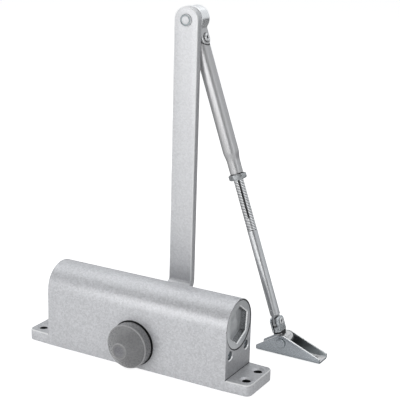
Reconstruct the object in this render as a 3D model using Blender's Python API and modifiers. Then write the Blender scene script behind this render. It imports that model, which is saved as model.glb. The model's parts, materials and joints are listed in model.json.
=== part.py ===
"""Surface-mounted door closer with a double arm: rack and pinion body, main arm, adjustable forearm and shoe.

Metres, +Z up. The origin is the centre of the body's mounting base. The body's length runs along X, the
spindle's axis lies along Y with the arms on the +Y side, and +Z points away from the mounting surface.
"""

import math

import bmesh
import bpy
from mathutils import Matrix, Vector

# Clearances
GAP = 0.0003
OVERSHOOT = 0.002

# Cylinder bore, its plugs and the body around it
BORE_RADIUS = 0.0165
BORE_WALL = 0.0035
BODY_LENGTH = 0.162
BODY_DEPTH = 2 * (BORE_RADIUS + BORE_WALL)
PLUG_RIM_WALL = 0.0008
PLUG_RIM_DEPTH = 0.0022
PLUG_THREAD_STEP = 0.0012
PLUG_LENGTH = 0.015
PLUG_CUP_DEPTH = 0.007
PLUG_CUP_WALL = 0.0028
SOCKET_FLATS = 0.0251
SOCKET_DEPTH = 0.0053
SOCKET_TURN = math.radians(-6.0)
SEAL_GROOVE_WIDTH = 0.0024
SEAL_GROOVE_DEPTH = 0.0018

# Rack and pinion
PINION_TEETH = 14
PINION_MODULE = 0.00175
PINION_WIDTH = 0.015
PRESSURE_ANGLE = math.radians(20.0)
ADDENDUM = 0.8 * PINION_MODULE
DEDENDUM = 1.0 * PINION_MODULE
TOOTH_THINNING = 0.0002
CHAMBER_CLEARANCE = 0.00095
RACK_DROP = 0.01405
BASE_WALL = 0.0056
SPINDLE_RANGE = math.radians(135.0)

# Spindle, bearings, shaft seals and cover nut
JOURNAL_RADIUS = 0.0070
JOURNAL_LENGTH = 0.0206
SPINDLE_HALF_LENGTH = 0.0266
SPINDLE_SQUARE = 0.0102
SQUARE_CORNER = 0.0009
BEARING_WALL = 0.0029
BEARING_LENGTH = 0.0060
SEAL_WIDTH = 0.0034
SEAL_LIP = 0.0010
NUT_WALL = 0.0025
NUT_SPIGOT = 0.0070
NUT_SLOT = 0.003

# Spindle cap
CAP_RADIUS = 0.0175
CAP_STANDOFF = 0.0013
CAP_RIM_LENGTH = 0.0077
CAP_DEPTH = 0.0184
CAP_NOSE_RADIUS = 0.0064
CAP_NOSE_HEIGHT = 0.0008
CAP_WALL = 0.0018

# Screw ears
EAR_REACH = 0.0200
EAR_THICKNESS = 0.0088
EAR_CORNER = 0.0045
EAR_TAPER = 0.0008
EAR_HOLE_FROM_BODY = 0.0124
EAR_HOLE_SPACING = 0.019
EAR_HOLE_RADIUS = 0.00325
EAR_SINK_RADIUS = 0.0050
EAR_SINK_DEPTH = 0.0014

# Valve screws in the right end face
VALVE_MOUTH_RADIUS = 0.0035
VALVE_MOUTH_DEPTH = 0.0056
VALVE_RADIUS = 0.0022
VALVE_BORE_DEPTH = 0.0250
VALVE_LENGTH = 0.0200
VALVE_HEAD_SINK = 0.0016
VALVE_HEAD_LENGTH = 0.0024
VALVE_SLOT_DEPTH = 0.0011
VALVE_WALL = 0.0014
VALVE_ANGLE = math.radians(32.1)
VALVE_PASSAGE_RADIUS = 0.0015

# Piston, return spring and check valve
PISTON_END_GAP = 0.004
PISTON_LEAD = 0.011
RACK_LEAD = 0.011
SPRING_POCKET_DEPTH = 0.014
SPRING_POCKET_WALL = 0.0016
SPRING_WIRE = 0.0032
SPRING_TURNS = 9
SPRING_RADIUS = 0.0124
CHECK_POCKET_RADIUS = 0.0027
CHECK_POCKET_DEPTH = 0.008
CHECK_PASSAGE_RADIUS = 0.00125
CHECK_BALL_RADIUS = 0.0022

# Main arm
ARM_LENGTH = 0.2405
ARM_WIDTH = 0.0208
ARM_THICKNESS = 0.0062
ARM_STANDOFF = 0.0295
ARM_FOOT_GAP = 0.0013
ARM_LEAN = math.radians(0.31)
CRANK_START = 0.0104
CRANK_RISE = 0.0173
CRANK_BEND = 0.0025
ARM_SCREW_HEAD_RADIUS = 0.0062
ARM_SCREW_HEAD_HEIGHT = 0.0045
ARM_SCREW_RADIUS = 0.0029
ARM_SCREW_DEPTH = 0.0100
ARM_WASHER_RADIUS = 0.0078
ARM_WASHER_THICKNESS = 0.0015

# Elbow
ELBOW_PIN_RADIUS = 0.0039
RIVET_HEAD_RADIUS = 0.0049
RIVET_HEAD_HEIGHT = 0.0008
RIVET_DISC_RADIUS = 0.0031
RIVET_RING_RADIUS = 0.0040
RIVET_RING_DEPTH = 0.0005
ELBOW_WASHER_RADIUS = 0.0085
ELBOW_WASHER_THICKNESS = 0.0006
BARREL_LENGTH = 0.0118
FORK_REACH = 0.0165
FORK_HALF_WIDTH = 0.0056
FORK_RADIUS = 0.0057
FORK_SLOT_TOP = 0.0085
TONGUE_HALF_THICKNESS = 0.0026
TONGUE_RADIUS = 0.0052
CROSS_PIN_RADIUS = 0.0020
CROSS_HEAD_RADIUS = 0.0033
CROSS_HEAD_HEIGHT = 0.0015
SCREW_SLOT_WIDTH = 0.0010
SCREW_SLOT_DEPTH = 0.0007

# Forearm
TUBE_RADIUS = 0.0063
TUBE_END_WALL = 0.00095
TUBE_TOP = 0.0025
TUBE_NECK_START = 0.0895
TUBE_NECK_LENGTH = 0.0085
TUBE_LENGTH = 0.1078
TUBE_BORE_TOP = 0.0400
ROD_RADIUS = 0.0040
ROD_TOP = 0.0600
ROD_TO_PIN = 0.0054
TANG_HALF_THICKNESS = 0.0016
TANG_RADIUS = 0.0048
TANG_ROOT = 0.0110
GROOVE_WIDTH = 0.0016
GROOVE_DEPTH = 0.0010
GROOVE_LENGTH = 0.0340
GROOVE_TURN = math.radians(30.0)
JAM_NUT_FLATS = 0.0123
JAM_NUT_THICKNESS = 0.0043

# Shoe and the clevis on it
SHOE_PIVOT_X = 0.0871
SHOE_PIVOT_Z = 0.01035
ROD_SIDE_SHIFT = 0.0023
SHOE_WIDTH = 0.0155
SHOE_SHEET = 0.0016
SHOE_LEFT = 0.0220
SHOE_RIGHT = 0.0339
SHOE_LEFT_HEIGHT = 0.0040
SHOE_RIGHT_HEIGHT = 0.0041
SHOE_APEX_RADIUS = 0.0065
SHOE_HOLE_RADIUS = 0.0026
SHOE_HOLE_FROM_END = 0.0074
CLEVIS_BARREL_RADIUS = 0.0063
CLEVIS_OFFSET = 0.00435
CLEVIS_REACH = 0.0173
CLEVIS_HALF_THICKNESS = 0.0036
CLEVIS_HALF_WIDTH = 0.0056
CLEVIS_CORNER = 0.0034
CLEVIS_FOOT = 0.0082
CLEVIS_TOP = 0.0214
CLEVIS_SLOT_FLOOR = 0.0110
CLEVIS_NECK_HALF_THICKNESS = 0.0024
SHOE_PIN_RADIUS = 0.0030
SHOE_PIN_HEAD_RADIUS = 0.0040
SHOE_PIN_HEAD_HEIGHT = 0.0008
CLEVIS_PIN_RADIUS = 0.0019
CLEVIS_HEAD_RADIUS = 0.0029
CLEVIS_HEAD_HEIGHT = 0.0009

# Places that follow from the sizes above
PITCH_RADIUS = PINION_MODULE * PINION_TEETH / 2
TOOTH_PITCH = math.pi * PINION_MODULE
PINION_TIP_RADIUS = PITCH_RADIUS + ADDENDUM
CHAMBER_RADIUS = PINION_TIP_RADIUS + CHAMBER_CLEARANCE
SPINDLE_Z = BASE_WALL + CHAMBER_RADIUS
BORE_Z = SPINDLE_Z + PITCH_RADIUS + RACK_DROP
BODY_HEIGHT = BORE_Z + BODY_DEPTH / 2
BODY_END = BODY_LENGTH / 2
PLUG_RIM_RADIUS = BODY_DEPTH / 2 - PLUG_RIM_WALL
PLUG_THREAD_RADIUS = BORE_RADIUS + PLUG_THREAD_STEP
PLUG_INNER = BODY_END - PLUG_LENGTH
PLUG_CUP_RADIUS = PLUG_THREAD_RADIUS - GAP - PLUG_CUP_WALL
SPRING_LEFT = -(PLUG_INNER + PLUG_CUP_DEPTH)
PISTON_RADIUS = BORE_RADIUS - GAP
PISTON_STROKE = PITCH_RADIUS * SPINDLE_RANGE
PISTON_RIGHT = PLUG_INNER - PISTON_END_GAP
PISTON_LEFT = -(RACK_LEAD + PISTON_LEAD)
RACK_RIGHT = RACK_LEAD + PISTON_STROKE
REAR_FACE = BODY_DEPTH / 2
BEARING_INNER_RADIUS = JOURNAL_RADIUS + GAP
BEARING_SEAT_RADIUS = BEARING_INNER_RADIUS + BEARING_WALL + GAP
LIP_RADIUS = JOURNAL_RADIUS + 4 * GAP
REAR_SEAT_START = PINION_WIDTH / 2 + 4 * GAP
NUT_RADIUS = CHAMBER_RADIUS - GAP
NUT_FRONT = REAR_FACE + NUT_SPIGOT
NUT_LIP_REAR = REAR_FACE - 0.0005
NUT_LIP_FRONT = NUT_LIP_REAR + SEAL_LIP
NUT_INNER = NUT_LIP_REAR - BEARING_LENGTH - 2 * GAP
ARM_SCREW_HOLE_RADIUS = ARM_SCREW_RADIUS + GAP
ARM_FOOT_FRONT = REAR_FACE + ARM_FOOT_GAP
ARM_FOOT_REAR = ARM_FOOT_FRONT + ARM_THICKNESS
ARM_FRONT = REAR_FACE + ARM_STANDOFF
ARM_REAR = ARM_FRONT + ARM_THICKNESS
BARREL_FRONT = ARM_REAR + ELBOW_WASHER_THICKNESS + 2 * GAP
KNUCKLE_Y = BARREL_FRONT + BARREL_LENGTH / 2
BARREL_RADIUS = ARM_WIDTH / 2 - 0.0002
ELBOW_BORE_RADIUS = ELBOW_PIN_RADIUS + GAP
ELBOW_X = ARM_LENGTH * math.sin(ARM_LEAN)
ELBOW_Z = SPINDLE_Z + ARM_LENGTH * math.cos(ARM_LEAN)
ROD_Y = KNUCKLE_Y + ROD_SIDE_SHIFT
SHOE_Y = ROD_Y + CLEVIS_OFFSET
FOREARM_FOLD = math.atan2(SHOE_PIVOT_X - ELBOW_X, ELBOW_Z - SHOE_PIVOT_Z)
FOREARM_SPAN = math.hypot(SHOE_PIVOT_X - ELBOW_X, ELBOW_Z - SHOE_PIVOT_Z)
PIN_SPAN = FOREARM_SPAN - FORK_REACH - CLEVIS_REACH
FOREARM_TILT = math.atan2(ROD_SIDE_SHIFT, PIN_SPAN)
ROD_PIN = math.hypot(ROD_SIDE_SHIFT, PIN_SPAN)
CROSS_BORE_RADIUS = CROSS_PIN_RADIUS + GAP
TUBE_SEAT_RADIUS = FORK_RADIUS + 2 * GAP
ROD_BORE_RADIUS = ROD_RADIUS + GAP
TUBE_END_RADIUS = ROD_BORE_RADIUS + TUBE_END_WALL
JAM_NUT_TOP = TUBE_LENGTH + 2 * GAP
VALVE_REACH = PLUG_RIM_RADIUS + VALVE_WALL + VALVE_MOUTH_RADIUS
VALVE_Y = VALVE_REACH * math.sin(VALVE_ANGLE)
VALVE_Z = BORE_Z - VALVE_REACH * math.cos(VALVE_ANGLE)
VALVE_BORE_RADIUS = VALVE_RADIUS + GAP

# How a piece built along its own Z, or flat in its own XY, is turned into place
ALONG_X = (0.0, math.pi / 2, 0.0)
ALONG_Y = (-math.pi / 2, 0.0, 0.0)
UPRIGHT_FACING_Y = (math.pi / 2, 0.0, 0.0)
UPRIGHT_FACING_X = (math.pi / 2, 0.0, math.pi / 2)

ROUND = 32
FINE_ROUND = 48
SMALL_ROUND = 20
CORNER_STEPS = 5

PAINT = ("silver_paint", (0.60, 0.61, 0.63), 0.42, 0.6)
PLUG_METAL = ("plug_zinc", (0.50, 0.51, 0.53), 0.40, 0.8)
ZINC = ("zinc_plated_steel", (0.58, 0.60, 0.62), 0.32, 1.0)
STEEL = ("bright_steel", (0.55, 0.55, 0.57), 0.28, 1.0)
SPRING_STEEL = ("spring_steel", (0.22, 0.22, 0.24), 0.35, 1.0)
GREY_PLASTIC = ("grey_plastic", (0.22, 0.22, 0.225), 0.45, 0.0)
RUBBER = ("black_rubber", (0.03, 0.03, 0.03), 0.70, 0.0)


def clear_scene():
    for item in list(bpy.data.objects):
        bpy.data.objects.remove(item, do_unlink=True)


def new_collection(name):
    collection = bpy.data.collections.new(name)
    bpy.context.scene.collection.children.link(collection)
    return collection


clear_scene()
PARTS = new_collection("door_closer")
CUTTERS = new_collection("cutters")


def material_of(look, node):
    """The node's own material, from the look's colour, roughness and metallic value."""
    name, colour, roughness, metallic = look
    made = bpy.data.materials.new(f"{node}_{name}")
    made.use_nodes = True
    shader = made.node_tree.nodes["Principled BSDF"]
    shader.inputs["Base Color"].default_value = (*colour, 1.0)
    shader.inputs["Roughness"].default_value = roughness
    shader.inputs["Metallic"].default_value = metallic
    return made


def frame(name, location, rotation=(0.0, 0.0, 0.0), parent=None):
    """An empty that carries the pieces of one moving group."""
    empty = bpy.data.objects.new(name, None)
    PARTS.objects.link(empty)
    empty.location = location
    empty.rotation_euler = rotation
    empty.parent = parent
    return empty


def put(mesh, name, location=(0.0, 0.0, 0.0), rotation=(0.0, 0.0, 0.0), parent=None):
    """A helper solid, kept out of the render until it becomes a part."""
    obj = bpy.data.objects.new(name, mesh)
    CUTTERS.objects.link(obj)
    obj.location = location
    obj.rotation_euler = rotation
    obj.parent = parent
    obj.hide_render = True
    obj.display_type = "WIRE"
    return obj


def box(name, low, high, parent=None, turn=0.0):
    """A block from its low corner to its high corner, turned about its frame's Z."""
    mesh = bpy.data.meshes.new(name)
    bm = bmesh.new()
    size = Vector(high) - Vector(low)
    centre = (Vector(high) + Vector(low)) / 2
    bmesh.ops.create_cube(bm, size=1.0, matrix=Matrix.Translation(centre) @ Matrix.Diagonal((*size, 1.0)))
    bm.to_mesh(mesh)
    bm.free()
    return put(mesh, name, rotation=(0.0, 0.0, turn), parent=parent)


def rod(name, radius, start, end, location, rotation, parent=None, steps=SMALL_ROUND):
    """A plain cylinder from start to end along its own turned Z."""
    mesh = bpy.data.meshes.new(name)
    bm = bmesh.new()
    middle = Matrix.Translation((0.0, 0.0, (start + end) / 2))
    bmesh.ops.create_cone(
        bm, cap_ends=True, segments=steps, radius1=radius, radius2=radius, depth=abs(end - start), matrix=middle
    )
    bm.to_mesh(mesh)
    bm.free()
    return put(mesh, name, location, rotation, parent)


def turned(name, profile, location, rotation, parent=None, steps=ROUND, ring=False):
    """A turned solid. The profile's (radius, height) points run down the outer side."""
    mesh = bpy.data.meshes.new(name)
    points = [(radius, 0.0, height) for radius, height in profile]
    edges = [(index, index + 1) for index in range(len(points) - 1)]
    if ring:
        edges.append((len(points) - 1, 0))
    mesh.from_pydata(points, edges, [])
    obj = put(mesh, name, location, rotation, parent)
    screw = obj.modifiers.new("turn", "SCREW")
    screw.steps = steps
    screw.render_steps = steps
    screw.use_merge_vertices = True
    screw.merge_threshold = 0.00001
    return obj


def rounded(corners, steps=CORNER_STEPS):
    """The outline through (x, y, radius) corners, each rounded by its radius."""
    outline = []
    for index, (x, y, radius) in enumerate(corners):
        corner = Vector((x, y))
        if radius == 0:
            outline.append(corner)
            continue
        back = (Vector(corners[index - 1][:2]) - corner).normalized()
        ahead = (Vector(corners[(index + 1) % len(corners)][:2]) - corner).normalized()
        half = back.angle(ahead) / 2
        centre = corner + (back + ahead).normalized() * radius / math.sin(half)
        start = corner + back * radius / math.tan(half) - centre
        sweep = math.pi - 2 * half
        if back.cross(ahead) > 0:
            sweep = -sweep
        for step in range(steps + 1):
            angle = sweep * step / steps
            spoke = Matrix.Rotation(angle, 2) @ start
            outline.append(centre + spoke)
    return outline


def plate(name, outline, thickness, location, rotation, parent=None):
    """A flat piece: the outline, with half of its thickness to each side."""
    curve = bpy.data.curves.new(name, "CURVE")
    curve.dimensions = "2D"
    curve.fill_mode = "BOTH"
    curve.extrude = thickness / 2
    before = [outline[-1], *outline[:-1]]
    kept = [point for point, last in zip(outline, before) if (Vector(point) - Vector(last)).length > 1e-7]
    spline = curve.splines.new("POLY")
    spline.points.add(len(kept) - 1)
    for target, (x, y) in zip(spline.points, kept):
        target.co = (x, y, 0.0, 1.0)
    spline.use_cyclic_u = True
    helper = bpy.data.objects.new(f"{name}_outline", curve)
    CUTTERS.objects.link(helper)
    obj = put(solid_mesh(helper), name, location, rotation, parent)
    bpy.data.objects.remove(helper, do_unlink=True)
    return obj


def solid_mesh(obj):
    """The object's evaluated mesh in its own space, with its loose caps joined."""
    bpy.context.view_layer.update()
    graph = bpy.context.evaluated_depsgraph_get()
    mesh = bpy.data.meshes.new_from_object(obj.evaluated_get(graph))
    bm = bmesh.new()
    bm.from_mesh(mesh)
    bmesh.ops.remove_doubles(bm, verts=bm.verts, dist=0.000001)
    bm.to_mesh(mesh)
    bm.free()
    return mesh


def combine(obj, operation, *others):
    for other in others:
        boolean = obj.modifiers.new(other.name, "BOOLEAN")
        boolean.operation = operation
        boolean.object = other


def cut(obj, *cutters):
    combine(obj, "DIFFERENCE", *cutters)


def join(obj, *others):
    combine(obj, "UNION", *others)


def finish(obj, look):
    """Makes the helper a part: its modifiers are applied, its round faces smoothed and its material set."""
    mesh = solid_mesh(obj)
    obj.modifiers.clear()
    obj.data = mesh
    mesh.shade_smooth()
    mesh.set_sharp_from_angle(angle=math.radians(32.0))
    mesh.materials.clear()
    mesh.materials.append(material_of(look, obj.name))
    CUTTERS.objects.unlink(obj)
    PARTS.objects.link(obj)
    obj.hide_render = False
    obj.display_type = "TEXTURED"
    return obj


def hexagon(flats, turn=0.0):
    radius = flats / math.sqrt(3)
    return [
        Vector((radius * math.sin(turn + side * math.pi / 3), radius * math.cos(turn + side * math.pi / 3)))
        for side in range(6)
    ]


def square(side, corner):
    half = side / 2
    corners = [(-half, -half), (half, -half), (half, half), (-half, half)]
    return rounded([(x, y, corner) for x, y in corners], 3)


def stadium(half_width, low, high):
    """A bar outline with a full round at each end; low and high are the centres of the rounds."""
    bottom = low - half_width
    top = high + half_width
    return rounded(
        [
            (-half_width, bottom, half_width),
            (half_width, bottom, half_width),
            (half_width, top, half_width),
            (-half_width, top, half_width),
        ],
        12,
    )


def seal_ring(name, major, minor, location, rotation, steps=ROUND):
    """A round-section seal ring."""
    angles = [-step * math.pi / 3 for step in range(6)]
    section = [(major + minor * math.cos(angle), minor * math.sin(angle)) for angle in angles]
    return finish(turned(name, section, location, rotation, steps=steps, ring=True), RUBBER)


# ---------------------------------------------------------------- body and what it holds


def ear_outline():
    depth = BODY_DEPTH / 2
    end = BODY_END + EAR_REACH
    narrow = depth - EAR_TAPER
    return rounded(
        [
            (-end, -narrow, EAR_CORNER),
            (-BODY_END, -depth, 0),
            (BODY_END, -depth, 0),
            (end, -narrow, EAR_CORNER),
            (end, narrow, EAR_CORNER),
            (BODY_END, depth, 0),
            (-BODY_END, depth, 0),
            (-end, narrow, EAR_CORNER),
        ]
    )


def body_outline():
    depth = BODY_DEPTH / 2
    return rounded(
        [(-depth, 0, 0), (depth, 0, 0), (depth, BODY_HEIGHT, depth), (-depth, BODY_HEIGHT, depth)],
        12,
    )


def bore_cutter():
    """The cylinder bore with a thread and a rim recess for a plug at each end."""
    half = [
        (PLUG_RIM_RADIUS, BODY_END + OVERSHOOT),
        (PLUG_RIM_RADIUS, BODY_END - PLUG_RIM_DEPTH),
        (PLUG_THREAD_RADIUS, BODY_END - PLUG_RIM_DEPTH),
        (PLUG_THREAD_RADIUS, PLUG_INNER - GAP),
        (BORE_RADIUS, PLUG_INNER - GAP),
    ]
    other = [(radius, -height) for radius, height in reversed(half)]
    profile = [(0.0, BODY_END + OVERSHOOT), *half, *other, (0.0, -BODY_END - OVERSHOOT)]
    return turned("bore_cutter", profile, (0, 0, BORE_Z), ALONG_X, steps=FINE_ROUND)


def spindle_cutter():
    """The pinion chamber, open to the front, and the bearing and seal seats in the rear wall."""
    seat_end = REAR_SEAT_START + BEARING_LENGTH + 2 * GAP
    seal_start = REAR_FACE - SEAL_WIDTH - GAP
    profile = [
        (0.0, REAR_FACE + OVERSHOOT),
        (BEARING_SEAT_RADIUS, REAR_FACE + OVERSHOOT),
        (BEARING_SEAT_RADIUS, seal_start),
        (LIP_RADIUS, seal_start),
        (LIP_RADIUS, seat_end),
        (BEARING_SEAT_RADIUS, seat_end),
        (BEARING_SEAT_RADIUS, REAR_SEAT_START),
        (CHAMBER_RADIUS, REAR_SEAT_START),
        (CHAMBER_RADIUS, -REAR_FACE - OVERSHOOT),
        (0.0, -REAR_FACE - OVERSHOOT),
    ]
    return turned("spindle_cutter", profile, (0, 0, SPINDLE_Z), ALONG_Y)


def valve_cutters(side):
    mouth = BODY_END - VALVE_MOUTH_DEPTH
    deep = BODY_END - VALVE_BORE_DEPTH
    profile = [
        (0.0, BODY_END + OVERSHOOT),
        (VALVE_MOUTH_RADIUS, BODY_END + OVERSHOOT),
        (VALVE_MOUTH_RADIUS, mouth),
        (VALVE_BORE_RADIUS, mouth),
        (VALVE_BORE_RADIUS, deep),
        (0.0, deep - VALVE_BORE_RADIUS),
    ]
    bore = turned(f"valve_cutter_{side}", profile, (0, side * VALVE_Y, VALVE_Z), ALONG_X, steps=SMALL_ROUND)
    crossing = (deep + 2 * VALVE_PASSAGE_RADIUS, side * VALVE_Y, 0)
    name = f"passage_cutter_{side}"
    passage = rod(name, VALVE_PASSAGE_RADIUS, VALVE_Z, BORE_Z, crossing, (0, 0, 0), steps=12)
    return bore, passage


def ear_hole_cutter(end, side):
    top = EAR_THICKNESS
    profile = [
        (0.0, top + OVERSHOOT),
        (EAR_SINK_RADIUS, top + OVERSHOOT),
        (EAR_SINK_RADIUS, top),
        (EAR_HOLE_RADIUS, top - EAR_SINK_DEPTH),
        (EAR_HOLE_RADIUS, -OVERSHOOT),
        (0.0, -OVERSHOOT),
    ]
    place = (end * (BODY_END + EAR_HOLE_FROM_BODY), side * EAR_HOLE_SPACING / 2, 0)
    return turned(f"ear_hole_cutter_{end}_{side}", profile, place, (0, 0, 0), steps=SMALL_ROUND)


def build_housing():
    housing = plate("housing", body_outline(), BODY_LENGTH, (0, 0, 0), UPRIGHT_FACING_X)
    foot = plate("foot_plate", ear_outline(), EAR_THICKNESS, (0, 0, EAR_THICKNESS / 2), (0, 0, 0))
    join(housing, foot)
    cut(housing, bore_cutter(), spindle_cutter())
    for side in (-1, 1):
        cut(housing, *valve_cutters(side))
        for end in (-1, 1):
            cut(housing, ear_hole_cutter(end, side))
    finish(housing, PAINT)


def build_end_plug(name, end):
    """A plug that faces +X in its own frame, turned round for the left end."""
    facing = ALONG_X if end > 0 else (0.0, -math.pi / 2, 0.0)
    face = BODY_END - GAP
    thread = PLUG_THREAD_RADIUS - GAP
    rim = PLUG_RIM_RADIUS - GAP
    shoulder = BODY_END - PLUG_RIM_DEPTH + GAP
    chamfer = 0.0005
    groove_start = PLUG_INNER + 0.0042
    groove_end = groove_start - SEAL_GROOVE_WIDTH
    profile = [
        (0.0, face),
        (rim - chamfer, face),
        (rim, face - chamfer),
        (rim, shoulder),
        (thread, shoulder),
        (thread, groove_start),
        (thread - SEAL_GROOVE_DEPTH, groove_start),
        (thread - SEAL_GROOVE_DEPTH, groove_end),
        (thread, groove_end),
        (thread, PLUG_INNER),
        (PLUG_CUP_RADIUS, PLUG_INNER),
        (PLUG_CUP_RADIUS, PLUG_INNER + PLUG_CUP_DEPTH),
        (0.0, PLUG_INNER + PLUG_CUP_DEPTH),
    ]
    plug = turned(name, profile, (0, 0, BORE_Z), facing, steps=FINE_ROUND)
    depth = SOCKET_DEPTH + OVERSHOOT
    middle = end * (face + OVERSHOOT - depth / 2)
    outline = hexagon(SOCKET_FLATS, SOCKET_TURN)
    cut(plug, plate(f"{name}_socket", outline, depth, (middle, 0, BORE_Z), UPRIGHT_FACING_X))
    finish(plug, PLUG_METAL)
    middle_radius = (thread - SEAL_GROOVE_DEPTH + PLUG_THREAD_RADIUS) / 2
    minor = (SEAL_GROOVE_DEPTH - GAP) / 2
    place = (end * (groove_start + groove_end) / 2, 0, BORE_Z)
    seal_ring(name.replace("end_plug", "plug_seal"), middle_radius, minor, place, ALONG_X)


def build_cover_nut():
    outer = NUT_RADIUS
    seat = BEARING_SEAT_RADIUS
    profile = [
        (outer, -NUT_INNER),
        (outer, -NUT_FRONT),
        (seat, -NUT_FRONT),
        (seat, -NUT_LIP_FRONT),
        (LIP_RADIUS, -NUT_LIP_FRONT),
        (LIP_RADIUS, -NUT_LIP_REAR),
        (seat, -NUT_LIP_REAR),
        (seat, -NUT_INNER),
    ]
    nut = turned("cover_nut", profile, (0, 0, SPINDLE_Z), ALONG_Y, ring=True)
    slot_rear = -NUT_FRONT + NUT_SLOT
    for turn in (0.0, math.pi / 2):
        half = NUT_SLOT / 2
        reach = outer + OVERSHOOT
        low = (-reach, -half, -NUT_FRONT - OVERSHOOT)
        slot = box(f"nut_slot_{turn:.1f}", low, (reach, half, slot_rear), turn=turn)
        slot.location = (0, 0, SPINDLE_Z)
        slot.rotation_euler = (-math.pi / 2, turn, 0)
        cut(nut, slot)
    finish(nut, ZINC)


def build_shaft_rings():
    """The two bearings and the two shaft seals, each a ring with running clearance."""
    inner = BEARING_INNER_RADIUS
    outer = BEARING_SEAT_RADIUS - GAP
    rings = (
        ("bearing_rear", REAR_SEAT_START + GAP, BEARING_LENGTH, STEEL),
        ("bearing_front", -NUT_LIP_REAR + GAP, BEARING_LENGTH, STEEL),
        ("shaft_seal_rear", REAR_FACE - SEAL_WIDTH, SEAL_WIDTH, RUBBER),
        ("shaft_seal_front", -NUT_LIP_FRONT - GAP - SEAL_WIDTH, SEAL_WIDTH, RUBBER),
    )
    for name, start, length, look in rings:
        profile = [(outer, start + length), (outer, start), (inner, start), (inner, start + length)]
        finish(turned(name, profile, (0, 0, SPINDLE_Z), ALONG_Y, ring=True), look)


def build_spindle_cap():
    rear = -(REAR_FACE + CAP_STANDOFF)
    front = rear - CAP_DEPTH
    shoulder = rear - CAP_RIM_LENGTH
    nose_foot = front + CAP_NOSE_HEIGHT
    skirt = NUT_RADIUS + GAP
    slope = math.atan2(CAP_RADIUS - CAP_NOSE_RADIUS, shoulder - nose_foot)
    inner_nose = CAP_NOSE_RADIUS - CAP_WALL * math.tan(slope / 2)
    profile = [
        (0.0, front + CAP_WALL),
        (inner_nose, front + CAP_WALL),
        (skirt, shoulder + 0.0002),
        (skirt, rear),
        (CAP_RADIUS, rear),
        (CAP_RADIUS, shoulder + 0.0006),
        (CAP_RADIUS - 0.0006, shoulder),
        (CAP_NOSE_RADIUS, nose_foot),
        (CAP_NOSE_RADIUS - 0.0004, front),
        (0.0, front),
    ]
    cap = turned("spindle_cap", profile, (0, 0, SPINDLE_Z), ALONG_Y, steps=FINE_ROUND)
    finish(cap, GREY_PLASTIC)


def build_valve(name, side, parent):
    """A speed valve screw with a slotted head, and the seal ring behind the head."""
    head_face = BODY_END - VALVE_HEAD_SINK
    head_rear = head_face - VALVE_HEAD_LENGTH
    tip = head_face - VALVE_LENGTH
    head = VALVE_MOUTH_RADIUS - GAP
    profile = [
        (0.0, head_face),
        (head - 0.0004, head_face),
        (head, head_face - 0.0004),
        (head, head_rear),
        (VALVE_RADIUS, head_rear),
        (VALVE_RADIUS, tip + VALVE_RADIUS),
        (0.0, tip),
    ]
    valve = turned(name, profile, (-BODY_END, 0, 0), ALONG_X, parent, SMALL_ROUND)
    sunk = -VALVE_HEAD_SINK
    half = SCREW_SLOT_WIDTH / 2
    low = (sunk - VALVE_SLOT_DEPTH, -head, -half)
    cut(valve, box(f"{name}_slot", low, (OVERSHOOT, head, half), parent))
    finish(valve, ZINC)
    minor = (VALVE_MOUTH_RADIUS - VALVE_RADIUS - 2 * GAP) / 2
    major = (VALVE_MOUTH_RADIUS + VALVE_RADIUS) / 2
    ring_x = head_rear - GAP - minor
    seal_ring(f"{name}_seal", major, minor, (ring_x, side * VALVE_Y, VALVE_Z), ALONG_X, SMALL_ROUND)


# ---------------------------------------------------------------- spindle, piston and spring


def involute(angle):
    return math.tan(angle) - angle


def pinion_outline():
    """Involute teeth; one tooth is centred on the outline's +Y."""
    base = PITCH_RADIUS * math.cos(PRESSURE_ANGLE)
    root = PITCH_RADIUS - DEDENDUM
    half_tooth = (TOOTH_PITCH / 2 - TOOTH_THINNING) / 2 / PITCH_RADIUS
    steps = 4
    flank = [(root, 0.0), (base, 0.0)]
    for step in range(1, steps + 1):
        radius = base + (PINION_TIP_RADIUS - base) * step / steps
        flank.append((radius, involute(math.acos(base / radius))))
    widest = half_tooth + involute(PRESSURE_ANGLE)
    outline = []
    for tooth in range(PINION_TEETH):
        centre = tooth * 2 * math.pi / PINION_TEETH
        left = [(radius, centre - widest + roll) for radius, roll in flank]
        right = [(radius, centre + widest - roll) for radius, roll in reversed(flank)]
        for radius, angle in left + right:
            outline.append(Vector((radius * math.sin(angle), radius * math.cos(angle))))
    return outline


def build_spindle(parent):
    spindle = plate("pinion_spindle", pinion_outline(), PINION_WIDTH, (0, 0, 0), UPRIGHT_FACING_Y, parent)
    shaft = rod("journals", JOURNAL_RADIUS, -JOURNAL_LENGTH, JOURNAL_LENGTH, (0, 0, 0), ALONG_Y, parent, ROUND)
    join(spindle, shaft)
    for end in (-1, 1):
        inside = JOURNAL_LENGTH - OVERSHOOT
        length = SPINDLE_HALF_LENGTH - inside
        middle = end * (inside + length / 2)
        outline = square(SPINDLE_SQUARE, SQUARE_CORNER)
        join(spindle, plate(f"square_{end}", outline, length, (0, middle, 0), UPRIGHT_FACING_Y, parent))
    depth = SPINDLE_HALF_LENGTH - ARM_SCREW_DEPTH - OVERSHOOT
    beyond = SPINDLE_HALF_LENGTH + OVERSHOOT
    for end in (-1, 1):
        span = (end * depth, end * beyond)
        cut(spindle, rod(f"thread_{end}", ARM_SCREW_HOLE_RADIUS, *span, (0, 0, 0), ALONG_Y, parent))
    finish(spindle, STEEL)


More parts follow.
